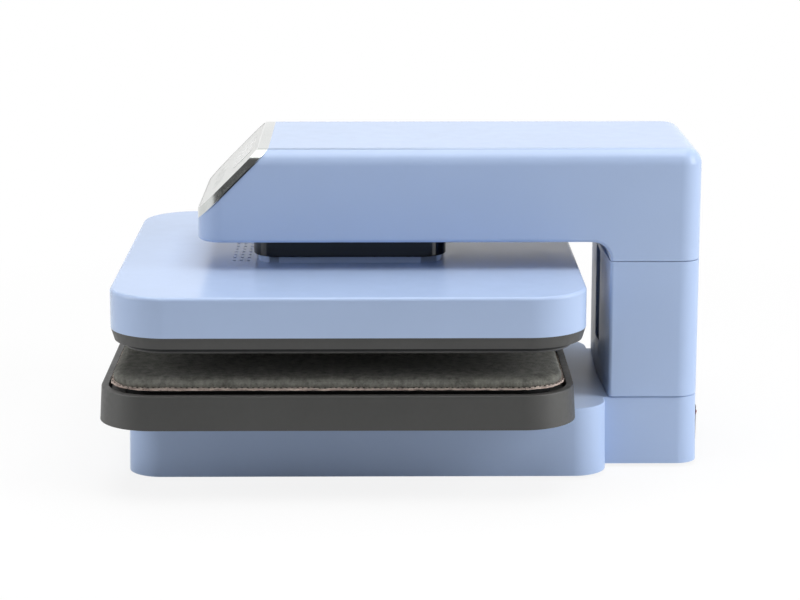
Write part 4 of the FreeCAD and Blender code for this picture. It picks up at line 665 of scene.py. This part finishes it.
class HEATPRESS_OT_finishes(bpy.types.Operator):
    """Makes every finish and gives each frame node its own"""
    bl_idname = "heatpress.finishes"
    bl_label = "Finishes"

    def execute(self, context):
        colours = context.scene.heatpress_colours
        gloss_moulding("blue_shell", tuple(colours.shell), shine=0.25)
        gloss_moulding("blue_body", tuple(colours.shell), rough=0.30, shine=0.10)
        satin_moulding("grey_plastic", tuple(colours.dark))
        gloss_moulding("gloss_black", tuple(colours.black), rough=0.10, speck=0.1, shine=0.3)
        satin_moulding("black_plastic", (0.018, 0.018, 0.020), rough=0.5)
        gloss_moulding("red_plastic", (0.45, 0.020, 0.015), rough=0.25)
        worked_metal("bright_trim", (0.70, 0.72, 0.705), rough=0.10, stretch=(30, 1, 1), depth=0.004)
        panel_face("panel_face", tuple(colours.face))
        display_window("display_window")
        worked_metal("frame_steel", (0.42, 0.43, 0.45), rough=0.42, stretch=(1, 1, 1), scratch=60.0)
        worked_metal("rail_steel", (0.55, 0.56, 0.57), rough=0.34, stretch=(30, 1, 30))
        worked_metal("ground_steel", (0.62, 0.62, 0.63), rough=0.24, stretch=(1, 1, 25))
        satin_moulding("motor_paint", (0.02, 0.02, 0.022), rough=0.35)
        worked_metal("bronze", (0.60, 0.42, 0.20), rough=0.32, stretch=(1, 1, 25))
        coated_plate("hot_plate_coating", (0.075, 0.075, 0.074))
        fibre_board("mineral_board", (0.56, 0.52, 0.43))
        fibre_board("ceramic", (0.68, 0.65, 0.58))
        circuit_board("circuit_board", (0.012, 0.085, 0.035))
        rubber("foot_rubber", (0.020, 0.020, 0.021))
        pad_cloth("pad_cloth", tuple(colours.cloth))
        pad_sponge("pad_sponge", tuple(colours.sponge))
        twisted_thread("hem_thread", (0.52, 0.45, 0.40))
        twisted_thread("stitch_thread", (0.030, 0.026, 0.026))
        # Near-black finish for strips that stand in for the shade in gaps: painted shade.
        rubber("seal_rubber", (0.008, 0.009, 0.010))
        for finish, nodes in CAD_FINISH.items():
            for node in nodes:
                paint(NODES[node], finish)
        return {"FINISHED"}


# Pieces

class HEATPRESS_OT_body(bpy.types.Operator):
    """Dresses the base, the column, the arm and the arm's bottom cover"""
    bl_idname = "heatpress.body"
    bl_label = "Base, column and arm"

    def execute(self, context):
        sizes = context.scene.heatpress_sizes
        low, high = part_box("column_shell")
        vent_low, vent_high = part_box("column_vent")
        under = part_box("arm_bottom_cover")[0].z
        drop, seam = sizes.arm_drop, sizes.seam
        rim, throat = 0.0009, 0.013
        front_wall, beside, above = 0.0045, 0.002, 0.003

        def in_opening(vertex):
            """True in the column's front wall, round the vent's opening."""
            place = vertex.co
            return (abs(place.x) < vent_high.x + beside and place.y < low.y + front_wall
                    and vent_low.z - above < place.z < vent_high.z + above)

        def column(piece):
            """Leaves a thin seam above and below, and lets the vent's opening follow its insert."""
            slide(piece, lambda v: v.co.z > high.z - rim, (0, 0, -drop - seam / 2))
            slide(piece, lambda v: v.co.z < low.z + rim, (0, 0, seam))
            lift_vent(piece, in_opening, sizes)

        def arm(piece):
            """Brings the arm's underside, throat and lower rim down together."""
            slide(piece, lambda v: v.co.z < under + throat, (0, 0, -drop + seam / 2))

        def floor(piece):
            """Brings the arm's bottom cover down with them."""
            slide(piece, lambda v: True, (0, 0, -drop + seam / 2))

        for node, name, finish, reshape in (
                ("base_shell", "base_moulding", "blue_body", None),
                ("column_shell", "column_moulding", "blue_body", column),
                ("arm_housing", "arm_moulding", "blue_shell", arm),
                ("arm_bottom_cover", "arm_floor", "blue_shell", floor)):
            piece = casting(node, name, reshape=reshape)
            paint(piece, finish)
            seat(piece, "frame", "blue_shell", node)
        return {"FINISHED"}


class HEATPRESS_OT_feet(bpy.types.Operator):
    """Makes the four rubber feet, hollow below and with rounded rims"""
    bl_idname = "heatpress.feet"
    bl_label = "Rubber feet"

    def execute(self, context):
        sizes = context.scene.heatpress_sizes
        low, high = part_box("rubber_feet")
        radius = sizes.foot_radius
        tread, hollow = radius - MM, 0.0034
        clear_choice()
        bpy.ops.mesh.primitive_cylinder_add(vertices=48, radius=radius, depth=high.z - low.z,
                                            location=(0, 0, (low.z + high.z) / 2))
        foot = bpy.context.active_object
        foot.name = "foot_master"
        settle(foot)
        squeeze_level(foot, low.z, (0, 0, low.z), (tread / radius, tread / radius, 1))
        sink_face(foot, facing(DOWN), rim=tread - hollow, depth=0.0015)
        on_sole = at_level(low.z)
        round_edges(foot, lambda e: on_sole(e) and e.verts[0].co.xy.length > 0.006, radius=0.0006, steps=3)
        smooth(foot, angle=40)
        paint(foot, "foot_rubber")
        places = [(low.x + radius, low.y + radius), (high.x - radius, low.y + radius),
                  (low.x + radius, high.y - radius), (high.x - radius, high.y - radius)]
        for index, (x, y) in enumerate(places):
            copy = twin(foot, f"foot_{index + 1}")
            copy.data.transform(Matrix.Translation((x, y, 0)))
            # The first foot stands for the node that holds all four.
            seat(copy, "frame", "foot_rubber", *(("rubber_feet",) if index == 0 else ()))
        bpy.data.objects.remove(foot)
        return {"FINISHED"}


class HEATPRESS_OT_panel(bpy.types.Operator):
    """Dresses the sloped control panel: bright slab, pale face, display window and touch rings"""
    bl_idname = "heatpress.panel"
    bl_label = "Control panel"

    def execute(self, context):
        slab = casting("control_bezel", "panel_slab", angle=30)
        paint(slab, "bright_trim")
        seat(slab, "frame", "bright_trim", "control_bezel")
        # A near-black strip, a little wider than the slab, lies where the slab meets the arm's cut front:
        # painted shade for the gap there.
        shade_spread, shade_depth = 1.005, 0.0012
        slope = Vector((0, -1, 1)).normalized()
        depths = [v.co.dot(slope) for v in slab.data.vertices]
        under, thick = min(depths), max(depths) - min(depths)
        heart = sum((v.co for v in slab.data.vertices), Vector()) / len(slab.data.vertices)
        middle = heart - slope * heart.dot(slope)
        seal = twin(slab, "panel_shade_strip")
        for vertex in seal.data.vertices:
            depth = vertex.co.dot(slope)
            flat = vertex.co - slope * depth
            share = (depth - under) / thick
            level = under - shade_depth / 2 + shade_depth * share
            vertex.co = middle + (flat - middle) * shade_spread + slope * level
        paint(seal, "seal_rubber")
        seat(seal, "frame", "black_plastic")
        face = casting("control_glass", "panel_plate", angle=30)
        paint(face, "panel_face")
        seat(face, "frame", "panel_face", "control_glass")
        # The face's plane is z - y = reach, sloping at 45 degrees. The window and the rings are
        # modelled lying flat round the origin, and then laid on the middle of the face.
        reach = max(v.co.z - v.co.y for v in face.data.vertices)
        low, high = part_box("control_glass")
        height = (low.z + high.z) / 2
        centre = Vector((0, height - reach, height))
        turn = Matrix.Translation(centre) @ Euler((math.radians(45), 0, 0)).to_matrix().to_4x4()
        half_width, sunk, proud = 0.042, 0.0008, 0.00025
        window = block("display_window", (-half_width, 0.006, -sunk), (half_width, 0.030, proud))
        round_edges(window, upright, radius=0.004, steps=8)
        window.data.transform(turn)
        smooth(window)
        paint(window, "display_window")
        seat(window, "frame", "panel_face")
        flatter = Matrix.Diagonal((1, 1, 0.9, 1))
        for index, x in enumerate((-0.036, -0.012, 0.012, 0.036)):
            clear_choice()
            bpy.ops.mesh.primitive_torus_add(major_radius=0.0062, minor_radius=0.00022,
                                             major_segments=48, minor_segments=8,
                                             location=(x, -0.014, 0.0))
            ring = bpy.context.active_object
            ring.name = f"touch_ring_{index + 1}"
            settle(ring)
            ring.data.transform(flatter)
            ring.data.transform(turn)
            smooth(ring)
            paint(ring, "display_window")
            seat(ring, "frame", "panel_face")
        return {"FINISHED"}


class HEATPRESS_OT_ram(bpy.types.Operator):
    """Makes the gloss sleeve under the arm and dresses the ram inside it"""
    bl_idname = "heatpress.ram"
    bl_label = "Ram and sleeve"

    def execute(self, context):
        sizes = context.scene.heatpress_sizes
        low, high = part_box("ram_shroud")
        flange, roof, wall = 0.005, 0.002, 0.0025
        top = high.z - roof
        foot = low.z - sizes.sleeve_drop
        sleeve = block("ram_sleeve", (low.x + flange, low.y + flange, foot),
                       (high.x - flange, high.y - flange, top))
        round_edges(sleeve, upright, sizes.sleeve_corner, steps=24)
        round_edges(sleeve, at_level(foot), radius=0.0012, steps=4)
        sink_face(sleeve, facing(DOWN), rim=wall, depth=top - foot - roof)
        smooth(sleeve)
        paint(sleeve, "gloss_black")
        seat(sleeve, "frame", "gloss_black", "ram_shroud")
        ram = casting("ram_cover", "ram_moulding")
        paint(ram, "blue_shell")
        seat(ram, "platen", "blue_shell", "ram_cover")
        return {"FINISHED"}


class HEATPRESS_OT_platen(bpy.types.Operator):
    """Makes the platen's cover with its air holes, and dresses the skirt and the hot plate"""
    bl_idname = "heatpress.platen"
    bl_label = "Platen"

    def execute(self, context):
        sizes = context.scene.heatpress_sizes
        low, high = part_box("platen_cover")
        wall = sizes.cover_wall
        cover = block("platen_moulding", low, high)
        round_edges(cover, upright, sizes.cover_corner, steps=32)
        round_edges(cover, at_level(high.z), sizes.cover_edge, steps=6)
        sink_face(cover, facing(DOWN), rim=wall, depth=high.z - low.z - wall)
        ram_low, ram_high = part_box("ram_cover")
        flange, gap = 0.010, 0.0002
        opening = block("ram_opening", (ram_low.x + flange - gap, ram_low.y + flange - gap, high.z - 0.008),
                        (ram_high.x - flange + gap, ram_high.y - flange + gap, high.z + 0.004))
        round_edges(opening, upright, radius=0.020, steps=16)
        carve(cover, opening)
        # The air holes stand in rows of eight in front of the ram's sleeve.
        sleeve_low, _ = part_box("ram_shroud")
        first_row = sleeve_low.y + 0.005 - 0.0043
        first_hole, hole_step, row_step = -0.0448, 0.0128, 0.0064
        for row in range(3):
            clear_choice()
            bpy.ops.mesh.primitive_cylinder_add(vertices=20, radius=0.0017, depth=0.012,
                                                location=(first_hole, first_row - row * row_step, high.z))
            drill = bpy.context.active_object
            settle(drill)
            repeat = drill.modifiers.new("repeat", "ARRAY")
            repeat.count = 8
            repeat.use_relative_offset = False
            repeat.use_constant_offset = True
            repeat.constant_offset_displace = (hole_step, 0, 0)
            bpy.ops.object.modifier_apply(modifier=repeat.name)
            carve(cover, drill)
        smooth(cover)
        paint(cover, "blue_shell")
        seat(cover, "platen", "blue_shell", "platen_cover")
        for node, name, finish in (("platen_skirt", "skirt_moulding", "grey_plastic"),
                                   ("heating_plate", "hot_plate", "hot_plate_coating")):
            piece = casting(node, name)
            paint(piece, finish)
            seat(piece, "platen", finish, node)
            self.shade_line(piece, node)
        return {"FINISHED"}

    def shade_line(self, piece, node):
        """A thin dark strip round a platen piece, for the shadow gap above or below it."""
        low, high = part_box(node)
        centre = (low + high) / 2
        proud, depth, top = {"platen_skirt": (-0.0005, 0.0007, high.z - 0.0021),
                             "heating_plate": (0.0003, 0.0044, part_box("platen_skirt")[0].z)}[node]
        grow_x, grow_y = (1 + proud / (part / 2) for part in (high.x - low.x, high.y - low.y))
        strip = twin(piece, f"{piece.name}_shade")
        for vertex in strip.data.vertices:
            share = (vertex.co.z - low.z) / (high.z - low.z)
            vertex.co = (centre.x + (vertex.co.x - centre.x) * grow_x,
                         centre.y + (vertex.co.y - centre.y) * grow_y,
                         top - depth * (1 - share))
        paint(strip, "seal_rubber")
        seat(strip, "platen", "black_plastic")


class HEATPRESS_OT_tray(bpy.types.Operator):
    """Makes the sliding tray: flared sides, soft rim, pad seat, ribs and rail notches"""
    bl_idname = "heatpress.tray"
    bl_label = "Sliding tray"

    def execute(self, context):
        sizes = context.scene.heatpress_sizes
        low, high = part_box("press_tray")
        centre = (low + high) / 2
        span = high - low
        tray = block("tray_moulding", low, high)
        round_edges(tray, upright, sizes.tray_corner, steps=32)
        shrink = [(part - 2 * sizes.tray_flare) / part for part in (span.x, span.y)]
        squeeze_level(tray, high.z, (centre.x, centre.y, high.z), (*shrink, 1))
        sink_face(tray, facing(UP), rim=sizes.tray_rim, depth=-sizes.tray_seat)
        seat_edge = span.x / 2 - sizes.tray_flare - sizes.tray_rim
        rim_round, floor_thick = 0.001, 0.003
        round_edges(tray, at_level(high.z), rim_round, steps=4)
        slide(tray, lambda v: v.co.z > high.z - 0.0012, (0, 0, -sizes.tray_drop))
        sink_face(tray, facing(DOWN, least=0.99), rim=sizes.tray_rim + sizes.tray_flare,
                  depth=span.z - sizes.tray_seat - floor_thick)
        # Two notches in the rear wall let the rails through.
        for left, right in ((-0.093, -0.063), (0.063, 0.093)):
            notch = block("rail_notch", (left, high.y - 0.012, low.z - 0.001),
                          (right, high.y + 0.004, low.z + 0.019))
            carve(tray, notch)
        smooth(tray)
        ribs = []
        half_rib, rib_foot, rib_top = 0.0012, low.z + 0.001, high.z - sizes.tray_seat - 0.0015
        reach = seat_edge - 0.015
        for index, x in enumerate((-0.160, -0.130, -0.030, 0.030, 0.130, 0.160)):
            rib = block(f"tray_rib_{index + 1}", (x - half_rib, centre.y - reach, rib_foot),
                        (x + half_rib, centre.y + reach, rib_top))
            round_edges(rib, at_level(rib_foot), radius=0.0005, steps=2)
            smooth(rib)
            ribs.append(rib)
        hold(tray, *ribs)
        bpy.ops.object.join()
        paint(tray, "grey_plastic")
        seat(tray, "tray", "grey_plastic", "press_tray")
        return {"FINISHED"}


def ripple(x, y, pitch, layer):
    """A smooth value that changes over the plan, and each layer changes in its own way."""
    return noise.noise(Vector((x * pitch, y * pitch, layer)))


def puff(piece, pressure, cap, frames=20):
    """Lets the cloth swell a little, keeps each point near where it was, and applies it."""
    before = [v.co.copy() for v in piece.data.vertices]
    cloth = piece.modifiers.new("swell", "CLOTH")
    cloth.settings.use_pressure = True
    cloth.settings.uniform_pressure_force = pressure
    cloth.settings.quality = 4
    cloth.settings.mass = 0.3
    cloth.settings.tension_stiffness = 20
    cloth.settings.bending_stiffness = 0.8
    cloth.settings.effector_weights.gravity = 0
    cloth.point_cache.frame_start = 1
    cloth.point_cache.frame_end = frames
    for step in range(1, frames + 1):
        bpy.context.scene.frame_set(step)
    hold(piece)
    bpy.ops.object.modifier_apply(modifier=cloth.name)
    bpy.context.scene.frame_set(1)
    for vertex, old in zip(piece.data.vertices, before):
        move = vertex.co - old
        if move.length > cap:
            vertex.co = old + move * (cap / move.length)


class HEATPRESS_OT_pad(bpy.types.Operator):
    """Makes the soft pad: swollen cloth with a wavy hem over a frayed sponge"""
    bl_idname = "heatpress.pad"
    bl_label = "Pad"

    def execute(self, context):
        sizes = context.scene.heatpress_sizes
        low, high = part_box("pad_cover")
        core_low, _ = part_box("pad_core")
        centre = (low + high) / 2
        half = Vector((high.x - centre.x, high.y - centre.y, 0))
        hem = sizes.hem_level
        cap = sizes.pad_puff
        proud = sizes.pad_proud
        crown = high.z - cap - 0.0008

        def wander(x, y):
            """The slow wave of the hem, in metres."""
            return sizes.hem_wave * (1.5 * ripple(x, y, 14, 3.1) + ripple(x, y, 55, 7.7))

        tuck = 0.0038
        cloth = block("pad_cloth_cover", (low.x - proud, low.y - proud, hem - tuck),
                      (high.x + proud, high.y + proud, crown))
        round_edges(cloth, upright, sizes.pad_corner, steps=14)
        round_edges(cloth, at_level(crown), radius=0.0018, steps=4)
        even_out(cloth, size=0.0031)
        puff(cloth, pressure=4.0, cap=cap)
        # Slack of the cloth: broad low waves on top, and fine gathers down the side.
        margin, side_share, top_level = 0.012, 0.6, high.z - 0.0035
        wave, crease, sink = 0.00030, 0.00018, 0.0002
        side_crease, side_gather = 0.00040, 0.00035
        for vertex in cloth.data.vertices:
            place = vertex.co
            broad = ripple(place.x, place.y, 14, 3.1)
            fine = ripple(place.x, place.y, 60, 7.7)
            gather = ripple(place.x, place.y, 150, 2.2)
            side = max(abs(place.x - centre.x) - (half.x - margin),
                       abs(place.y - centre.y) - (half.y - margin), 0) / margin
            if place.z > top_level:
                place.z += wave * broad + crease * fine - sink
                place.z = min(place.z, high.z)
            if side > side_share:
                away = Vector((place.x - centre.x, place.y - centre.y, 0)).normalized()
                place += away * (side_crease * fine + side_gather * gather)
        hold(cloth)
        detail = cloth.modifiers.new("soft", "SUBSURF")
        detail.levels = 1
        detail.render_levels = 1
        bpy.ops.object.modifier_apply(modifier=detail.name)
        bpy.ops.object.shade_smooth()
        paint(cloth, "pad_cloth")
        seat(cloth, "tray", "pad_cloth", "pad_cover")

        lip = proud + 0.0010
        voxel, skin, cut_back = 0.0021, 0.006, 0.0120
        fray, dimple = 0.0009, 0.0003
        below_hem, at_hem = hem - 0.0018, hem - 0.0015
        sponge = block("pad_sponge_core", (low.x - lip, low.y - lip, core_low.z),
                       (high.x + lip, high.y + lip, hem))
        round_edges(sponge, upright, sizes.pad_corner, steps=16)
        even_out(sponge, size=voxel)
        for vertex in sponge.data.vertices:
            place = vertex.co
            reach = Vector((abs(place.x - centre.x) - half.x + sizes.pad_corner,
                            abs(place.y - centre.y) - half.y + sizes.pad_corner, 0))
            outward = Vector((max(reach.x, 0), max(reach.y, 0), 0))
            if outward.length > sizes.pad_corner - skin:
                away = Vector((math.copysign(outward.x, place.x - centre.x),
                               math.copysign(outward.y, place.y - centre.y), 0)).normalized()
                if place.z < sizes.sponge_level:
                    # The foot of the sponge is cut back, so that a dark slot shows above the tray's rim.
                    place -= away * cut_back
                else:
                    if place.z < below_hem:
                        place.z = max(sizes.sponge_level, place.z - voxel)
                    ragged = noise.noise(place * 330)
                    place += away * fray * ragged
                    place.z += dimple * ripple(place.x, place.y, 150, 1.3)
                if place.z > at_hem:
                    place.z += wander(place.x, place.y)
        smooth(sponge, angle=60)
        paint(sponge, "pad_sponge")
        # Below the band the sponge is painted near black, as painted shade for the slot above the tray's rim.
        sponge.data.materials.append(bpy.data.materials["seal_rubber_finish"])
        for side in sponge.data.polygons:
            side.material_index = int(side.center.z < sizes.sponge_level - 0.0001)
        seat(sponge, "tray", "pad_sponge", "pad_core")

        # The binding thread lies along the cloth's edge, with a row of stitches just above it.
        inset, stitch_lift = MM / 5, 0.0006
        line = self.run_of(centre, half.x + lip - inset, half.y + lip - inset, sizes.pad_corner, pitch=0.004)
        curve = bpy.data.curves.new("hem_binding", "CURVE")
        curve.dimensions = "3D"
        curve.bevel_depth = 0.00036
        curve.bevel_resolution = 1
        spline = curve.splines.new("POLY")
        spline.points.add(len(line) - 1)
        for point, (x, y, _) in zip(spline.points, line):
            flutter = 0.00025 * ripple(x, y, 200, 4.4)
            point.co = (x, y, hem + wander(x, y) + flutter, 1)
        spline.use_cyclic_u = True
        binding = bpy.data.objects.new("hem_binding", curve)
        bpy.context.scene.collection.objects.link(binding)
        hold(binding)
        bpy.ops.object.convert(target="MESH")
        binding = bpy.context.active_object
        merge(binding)
        bpy.ops.object.shade_smooth()
        paint(binding, "hem_thread")
        seat(binding, "tray", "pad_sponge")

        clear_choice()
        bpy.ops.mesh.primitive_uv_sphere_add(segments=6, ring_count=4, radius=1)
        bead = bpy.context.active_object
        bead.scale = (0.00125, 0.00032, 0.00034)
        settle(bead)
        stitches = []
        seam = self.run_of(centre, half.x + lip, half.y + lip, sizes.pad_corner, sizes.stitch_pitch)
        for index, (x, y, turn) in enumerate(seam):
            stitch = twin(bead, f"hem_stitch_{index + 1}")
            stray = 0.0003 * ripple(x, y, 300, 9.9)
            stitch.data.transform(Matrix.Translation((x, y, hem + wander(x, y) + stitch_lift + stray))
                                  @ Matrix.Rotation(turn, 4, "Z"))
            stitches.append(stitch)
        bpy.data.objects.remove(bead)
        hold(*stitches)
        bpy.ops.object.join()
        row = bpy.context.active_object
        row.name = "hem_stitches"
        row.data.name = "hem_stitches"
        bpy.ops.object.shade_smooth()
        paint(row, "stitch_thread")
        seat(row, "tray", "pad_sponge")
        return {"FINISHED"}

    def run_of(self, centre, half_x, half_y, corner, pitch):
        """Even steps along a rounded rectangle: x, y and the way it runs there."""
        sides = (2 * (half_x - corner), corner * math.pi / 2, 2 * (half_y - corner), corner * math.pi / 2) * 2
        count = round(sum(sides) / pitch)
        steps = []
        for index in range(count):
            along = sum(sides) * index / count
            part = 0
            while along > sides[part]:
                along -= sides[part]
                part += 1
            quarter = part // 2
            turn = math.pi / 2 * quarter
            reach, width = (half_x, half_y) if quarter % 2 == 0 else (half_y, half_x)
            if part % 2 == 0:
                flat = Vector((-(reach - corner) + along, -width, 0))
                way = turn
            else:
                bend = along / corner
                flat = Vector((reach - corner + corner * math.sin(bend),
                               -(width - corner) - corner * math.cos(bend), 0))
                way = turn + bend
            spot = Matrix.Rotation(turn, 4, "Z") @ flat
            steps.append((centre.x + spot.x, centre.y + spot.y, way))
        return steps


class HEATPRESS_OT_fittings(bpy.types.Operator):
    """Dresses the vent insert, the inlet, the switch and its rocker"""
    bl_idname = "heatpress.fittings"
    bl_label = "Vent, inlet and switch"

    def execute(self, context):
        sizes = context.scene.heatpress_sizes
        for node, name, body, finish in (
                ("column_vent", "vent_insert", "frame", "black_plastic"),
                ("power_inlet", "inlet_socket", "frame", "black_plastic"),
                ("switch_frame", "switch_surround", "frame", "black_plastic"),
                ("power_rocker", "switch_rocker", "rocker", "red_plastic")):
            piece = casting(node, name)
            if node == "column_vent":
                lift_vent(piece, lambda v: True, sizes)
            paint(piece, finish)
            seat(piece, body, finish, node)
        return {"FINISHED"}


def area_lamp(name, place, aim, size, power):
    """A soft rectangular lamp that shines from its place at its aim."""
    data = bpy.data.lights.new(name, "AREA")
    data.shape = "RECTANGLE"
    data.size, data.size_y = size
    data.energy = power
    lamp = bpy.data.objects.new(name, data)
    bpy.context.scene.collection.objects.link(lamp)
    lamp.location = place
    lamp.rotation_euler = (Vector(aim) - Vector(place)).to_track_quat("-Z", "Y").to_euler()


class HEATPRESS_OT_studio(bpy.types.Operator):
    """Sets the floor, the lamps, the room and the camera"""
    bl_idname = "heatpress.studio"
    bl_label = "Studio"

    def execute(self, context):
        studio = context.scene.heatpress_studio
        clear_choice()
        # The table ends short of the camera, so that side faces mirror the dim end of the room.
        bpy.ops.mesh.primitive_plane_add(size=1, location=(-3.0, 0, -0.0002))
        floor = bpy.context.active_object
        floor.name = "studio_floor"
        floor.scale = (8.0, 14.0, 1.0)
        settle(floor)
        make = Shader("studio_floor")
        make.colour(make.tones(make.noise(scale=3.0), WHITE, low=0.86, high=0.88))
        make.set(Roughness=0.9, Specular_IOR_Level=0.1)
        glow = make.add("ShaderNodeEmission")
        dial(glow, Strength=1.0)
        path = make.add("ShaderNodeLightPath")
        seen = path.outputs["Is Camera Ray"]
        for ray in ("Is Glossy Ray", "Is Transmission Ray"):
            seen = reckon(make.tree, "MAXIMUM", seen, path.outputs[ray])
        # Near the object the floor keeps some of its own shading, and so the shadow.
        away = make.add("ShaderNodeVectorMath", operation="LENGTH")
        make.link(make.place, away.inputs[0])
        clear = make.grey(away.outputs["Value"], low=0.86, high=1.0, start=0.45, end=0.95)
        share = reckon(make.tree, "MULTIPLY", seen, clear)
        mixed = make.add("ShaderNodeMixShader")
        for source, socket in zip((share, make.skin.outputs["BSDF"], glow.outputs["Emission"]), mixed.inputs):
            make.link(source, socket)
        out = make.tree.nodes["Material Output"]
        make.link(mixed.outputs["Shader"], out.inputs["Surface"])
        floor.data.materials.append(make.material)

        world = bpy.data.worlds.new("studio_room")
        context.scene.world = world
        world.use_nodes = True
        tree = world.node_tree
        back = tree.nodes["Background"]
        rays = tree.nodes.new("ShaderNodeLightPath")
        # The room is white behind the object and dim behind the camera, and mirrors show it so.
        sky = tree.nodes.new("ShaderNodeSeparateXYZ")
        tree.links.new(tree.nodes.new("ShaderNodeTexCoord").outputs["Generated"], sky.inputs[0])
        dim = tree.nodes.new("ShaderNodeMapRange")
        dial(dim, From_Min=0.15, From_Max=0.75, To_Min=1.0, To_Max=0.12)
        tree.links.new(sky.outputs["X"], dim.inputs["Value"])
        seen = reckon(tree, "MAXIMUM", rays.outputs["Is Camera Ray"], rays.outputs["Is Transmission Ray"])
        mirrored = reckon(tree, "MULTIPLY", rays.outputs["Is Glossy Ray"], dim.outputs["Result"])
        level = reckon(tree, "MAXIMUM", reckon(tree, "MAXIMUM", seen, mirrored), studio.ambient)
        tree.links.new(level, back.inputs["Strength"])
        dial(back, Color=(*WHITE, 1))

        aim = (0, 0, 0.15)
        for name, place, size, power in (
                ("lamp_top", (-0.1, 0.0, 2.2), (2.0, 2.4), studio.top_power),
                ("lamp_near", (0.5, 0.0, 2.1), (2.0, 1.4), studio.near_power),
                ("lamp_front", (0.5, -2.2, 0.9), (1.2, 1.6), studio.front_power),
                ("lamp_rear", (0.7, 2.2, 0.9), (1.2, 1.6), studio.rear_power)):
            area_lamp(name, place, aim, size, power)

        data = bpy.data.cameras.new("camera")
        data.sensor_width = 36.0
        data.sensor_fit = "HORIZONTAL"
        data.lens = studio.lens
        data.clip_start = 0.05
        data.dof.use_dof = False
        camera = bpy.data.objects.new("camera", data)
        context.scene.collection.objects.link(camera)
        camera.location = studio.eye
        look = Vector(studio.aim) - Vector(studio.eye)
        camera.rotation_euler = look.to_track_quat("-Z", "Y").to_euler()
        context.scene.camera = camera
        context.scene.view_settings.view_transform = "Standard"
        return {"FINISHED"}


STEPS = (HEATPRESS_OT_studio, HEATPRESS_OT_finishes, HEATPRESS_OT_body, HEATPRESS_OT_feet,
         HEATPRESS_OT_panel, HEATPRESS_OT_ram, HEATPRESS_OT_platen, HEATPRESS_OT_tray,
         HEATPRESS_OT_pad, HEATPRESS_OT_fittings)


class HEATPRESS_PT_panel(bpy.types.Panel):
    """Lists the steps and their settings"""
    bl_idname = "HEATPRESS_PT_panel"
    bl_label = "Heat press"
    bl_space_type = "VIEW_3D"
    bl_region_type = "UI"
    bl_category = "Heat press"

    def draw(self, context):
        column = self.layout.column(align=True)
        for step in STEPS:
            column.operator(step.bl_idname)
        for group in (context.scene.heatpress_colours, context.scene.heatpress_sizes,
                      context.scene.heatpress_studio):
            for key in group.bl_rna.properties.keys():
                if key not in ("rna_type", "name"):
                    self.layout.prop(group, key)


CLASSES = (HEATPRESS_PG_colours, HEATPRESS_PG_sizes, HEATPRESS_PG_studio, *STEPS, HEATPRESS_PT_panel)


def register():
    for item in CLASSES:
        bpy.utils.register_class(item)
    bpy.types.Scene.heatpress_colours = bpy.props.PointerProperty(type=HEATPRESS_PG_colours)
    bpy.types.Scene.heatpress_sizes = bpy.props.PointerProperty(type=HEATPRESS_PG_sizes)
    bpy.types.Scene.heatpress_studio = bpy.props.PointerProperty(type=HEATPRESS_PG_studio)


def unregister():
    del bpy.types.Scene.heatpress_studio
    del bpy.types.Scene.heatpress_sizes
    del bpy.types.Scene.heatpress_colours
    for item in reversed(CLASSES):
        bpy.utils.unregister_class(item)


def main():
    register()
    clear_choice()
    bpy.ops.heatpress.studio()
    bpy.ops.heatpress.finishes()
    bpy.ops.heatpress.body()
    bpy.ops.heatpress.feet()
    bpy.ops.heatpress.panel()
    bpy.ops.heatpress.ram()
    bpy.ops.heatpress.platen()
    bpy.ops.heatpress.tray()
    bpy.ops.heatpress.pad()
    bpy.ops.heatpress.fittings()
    clear_choice()


if __name__ == "__main__":
    main()
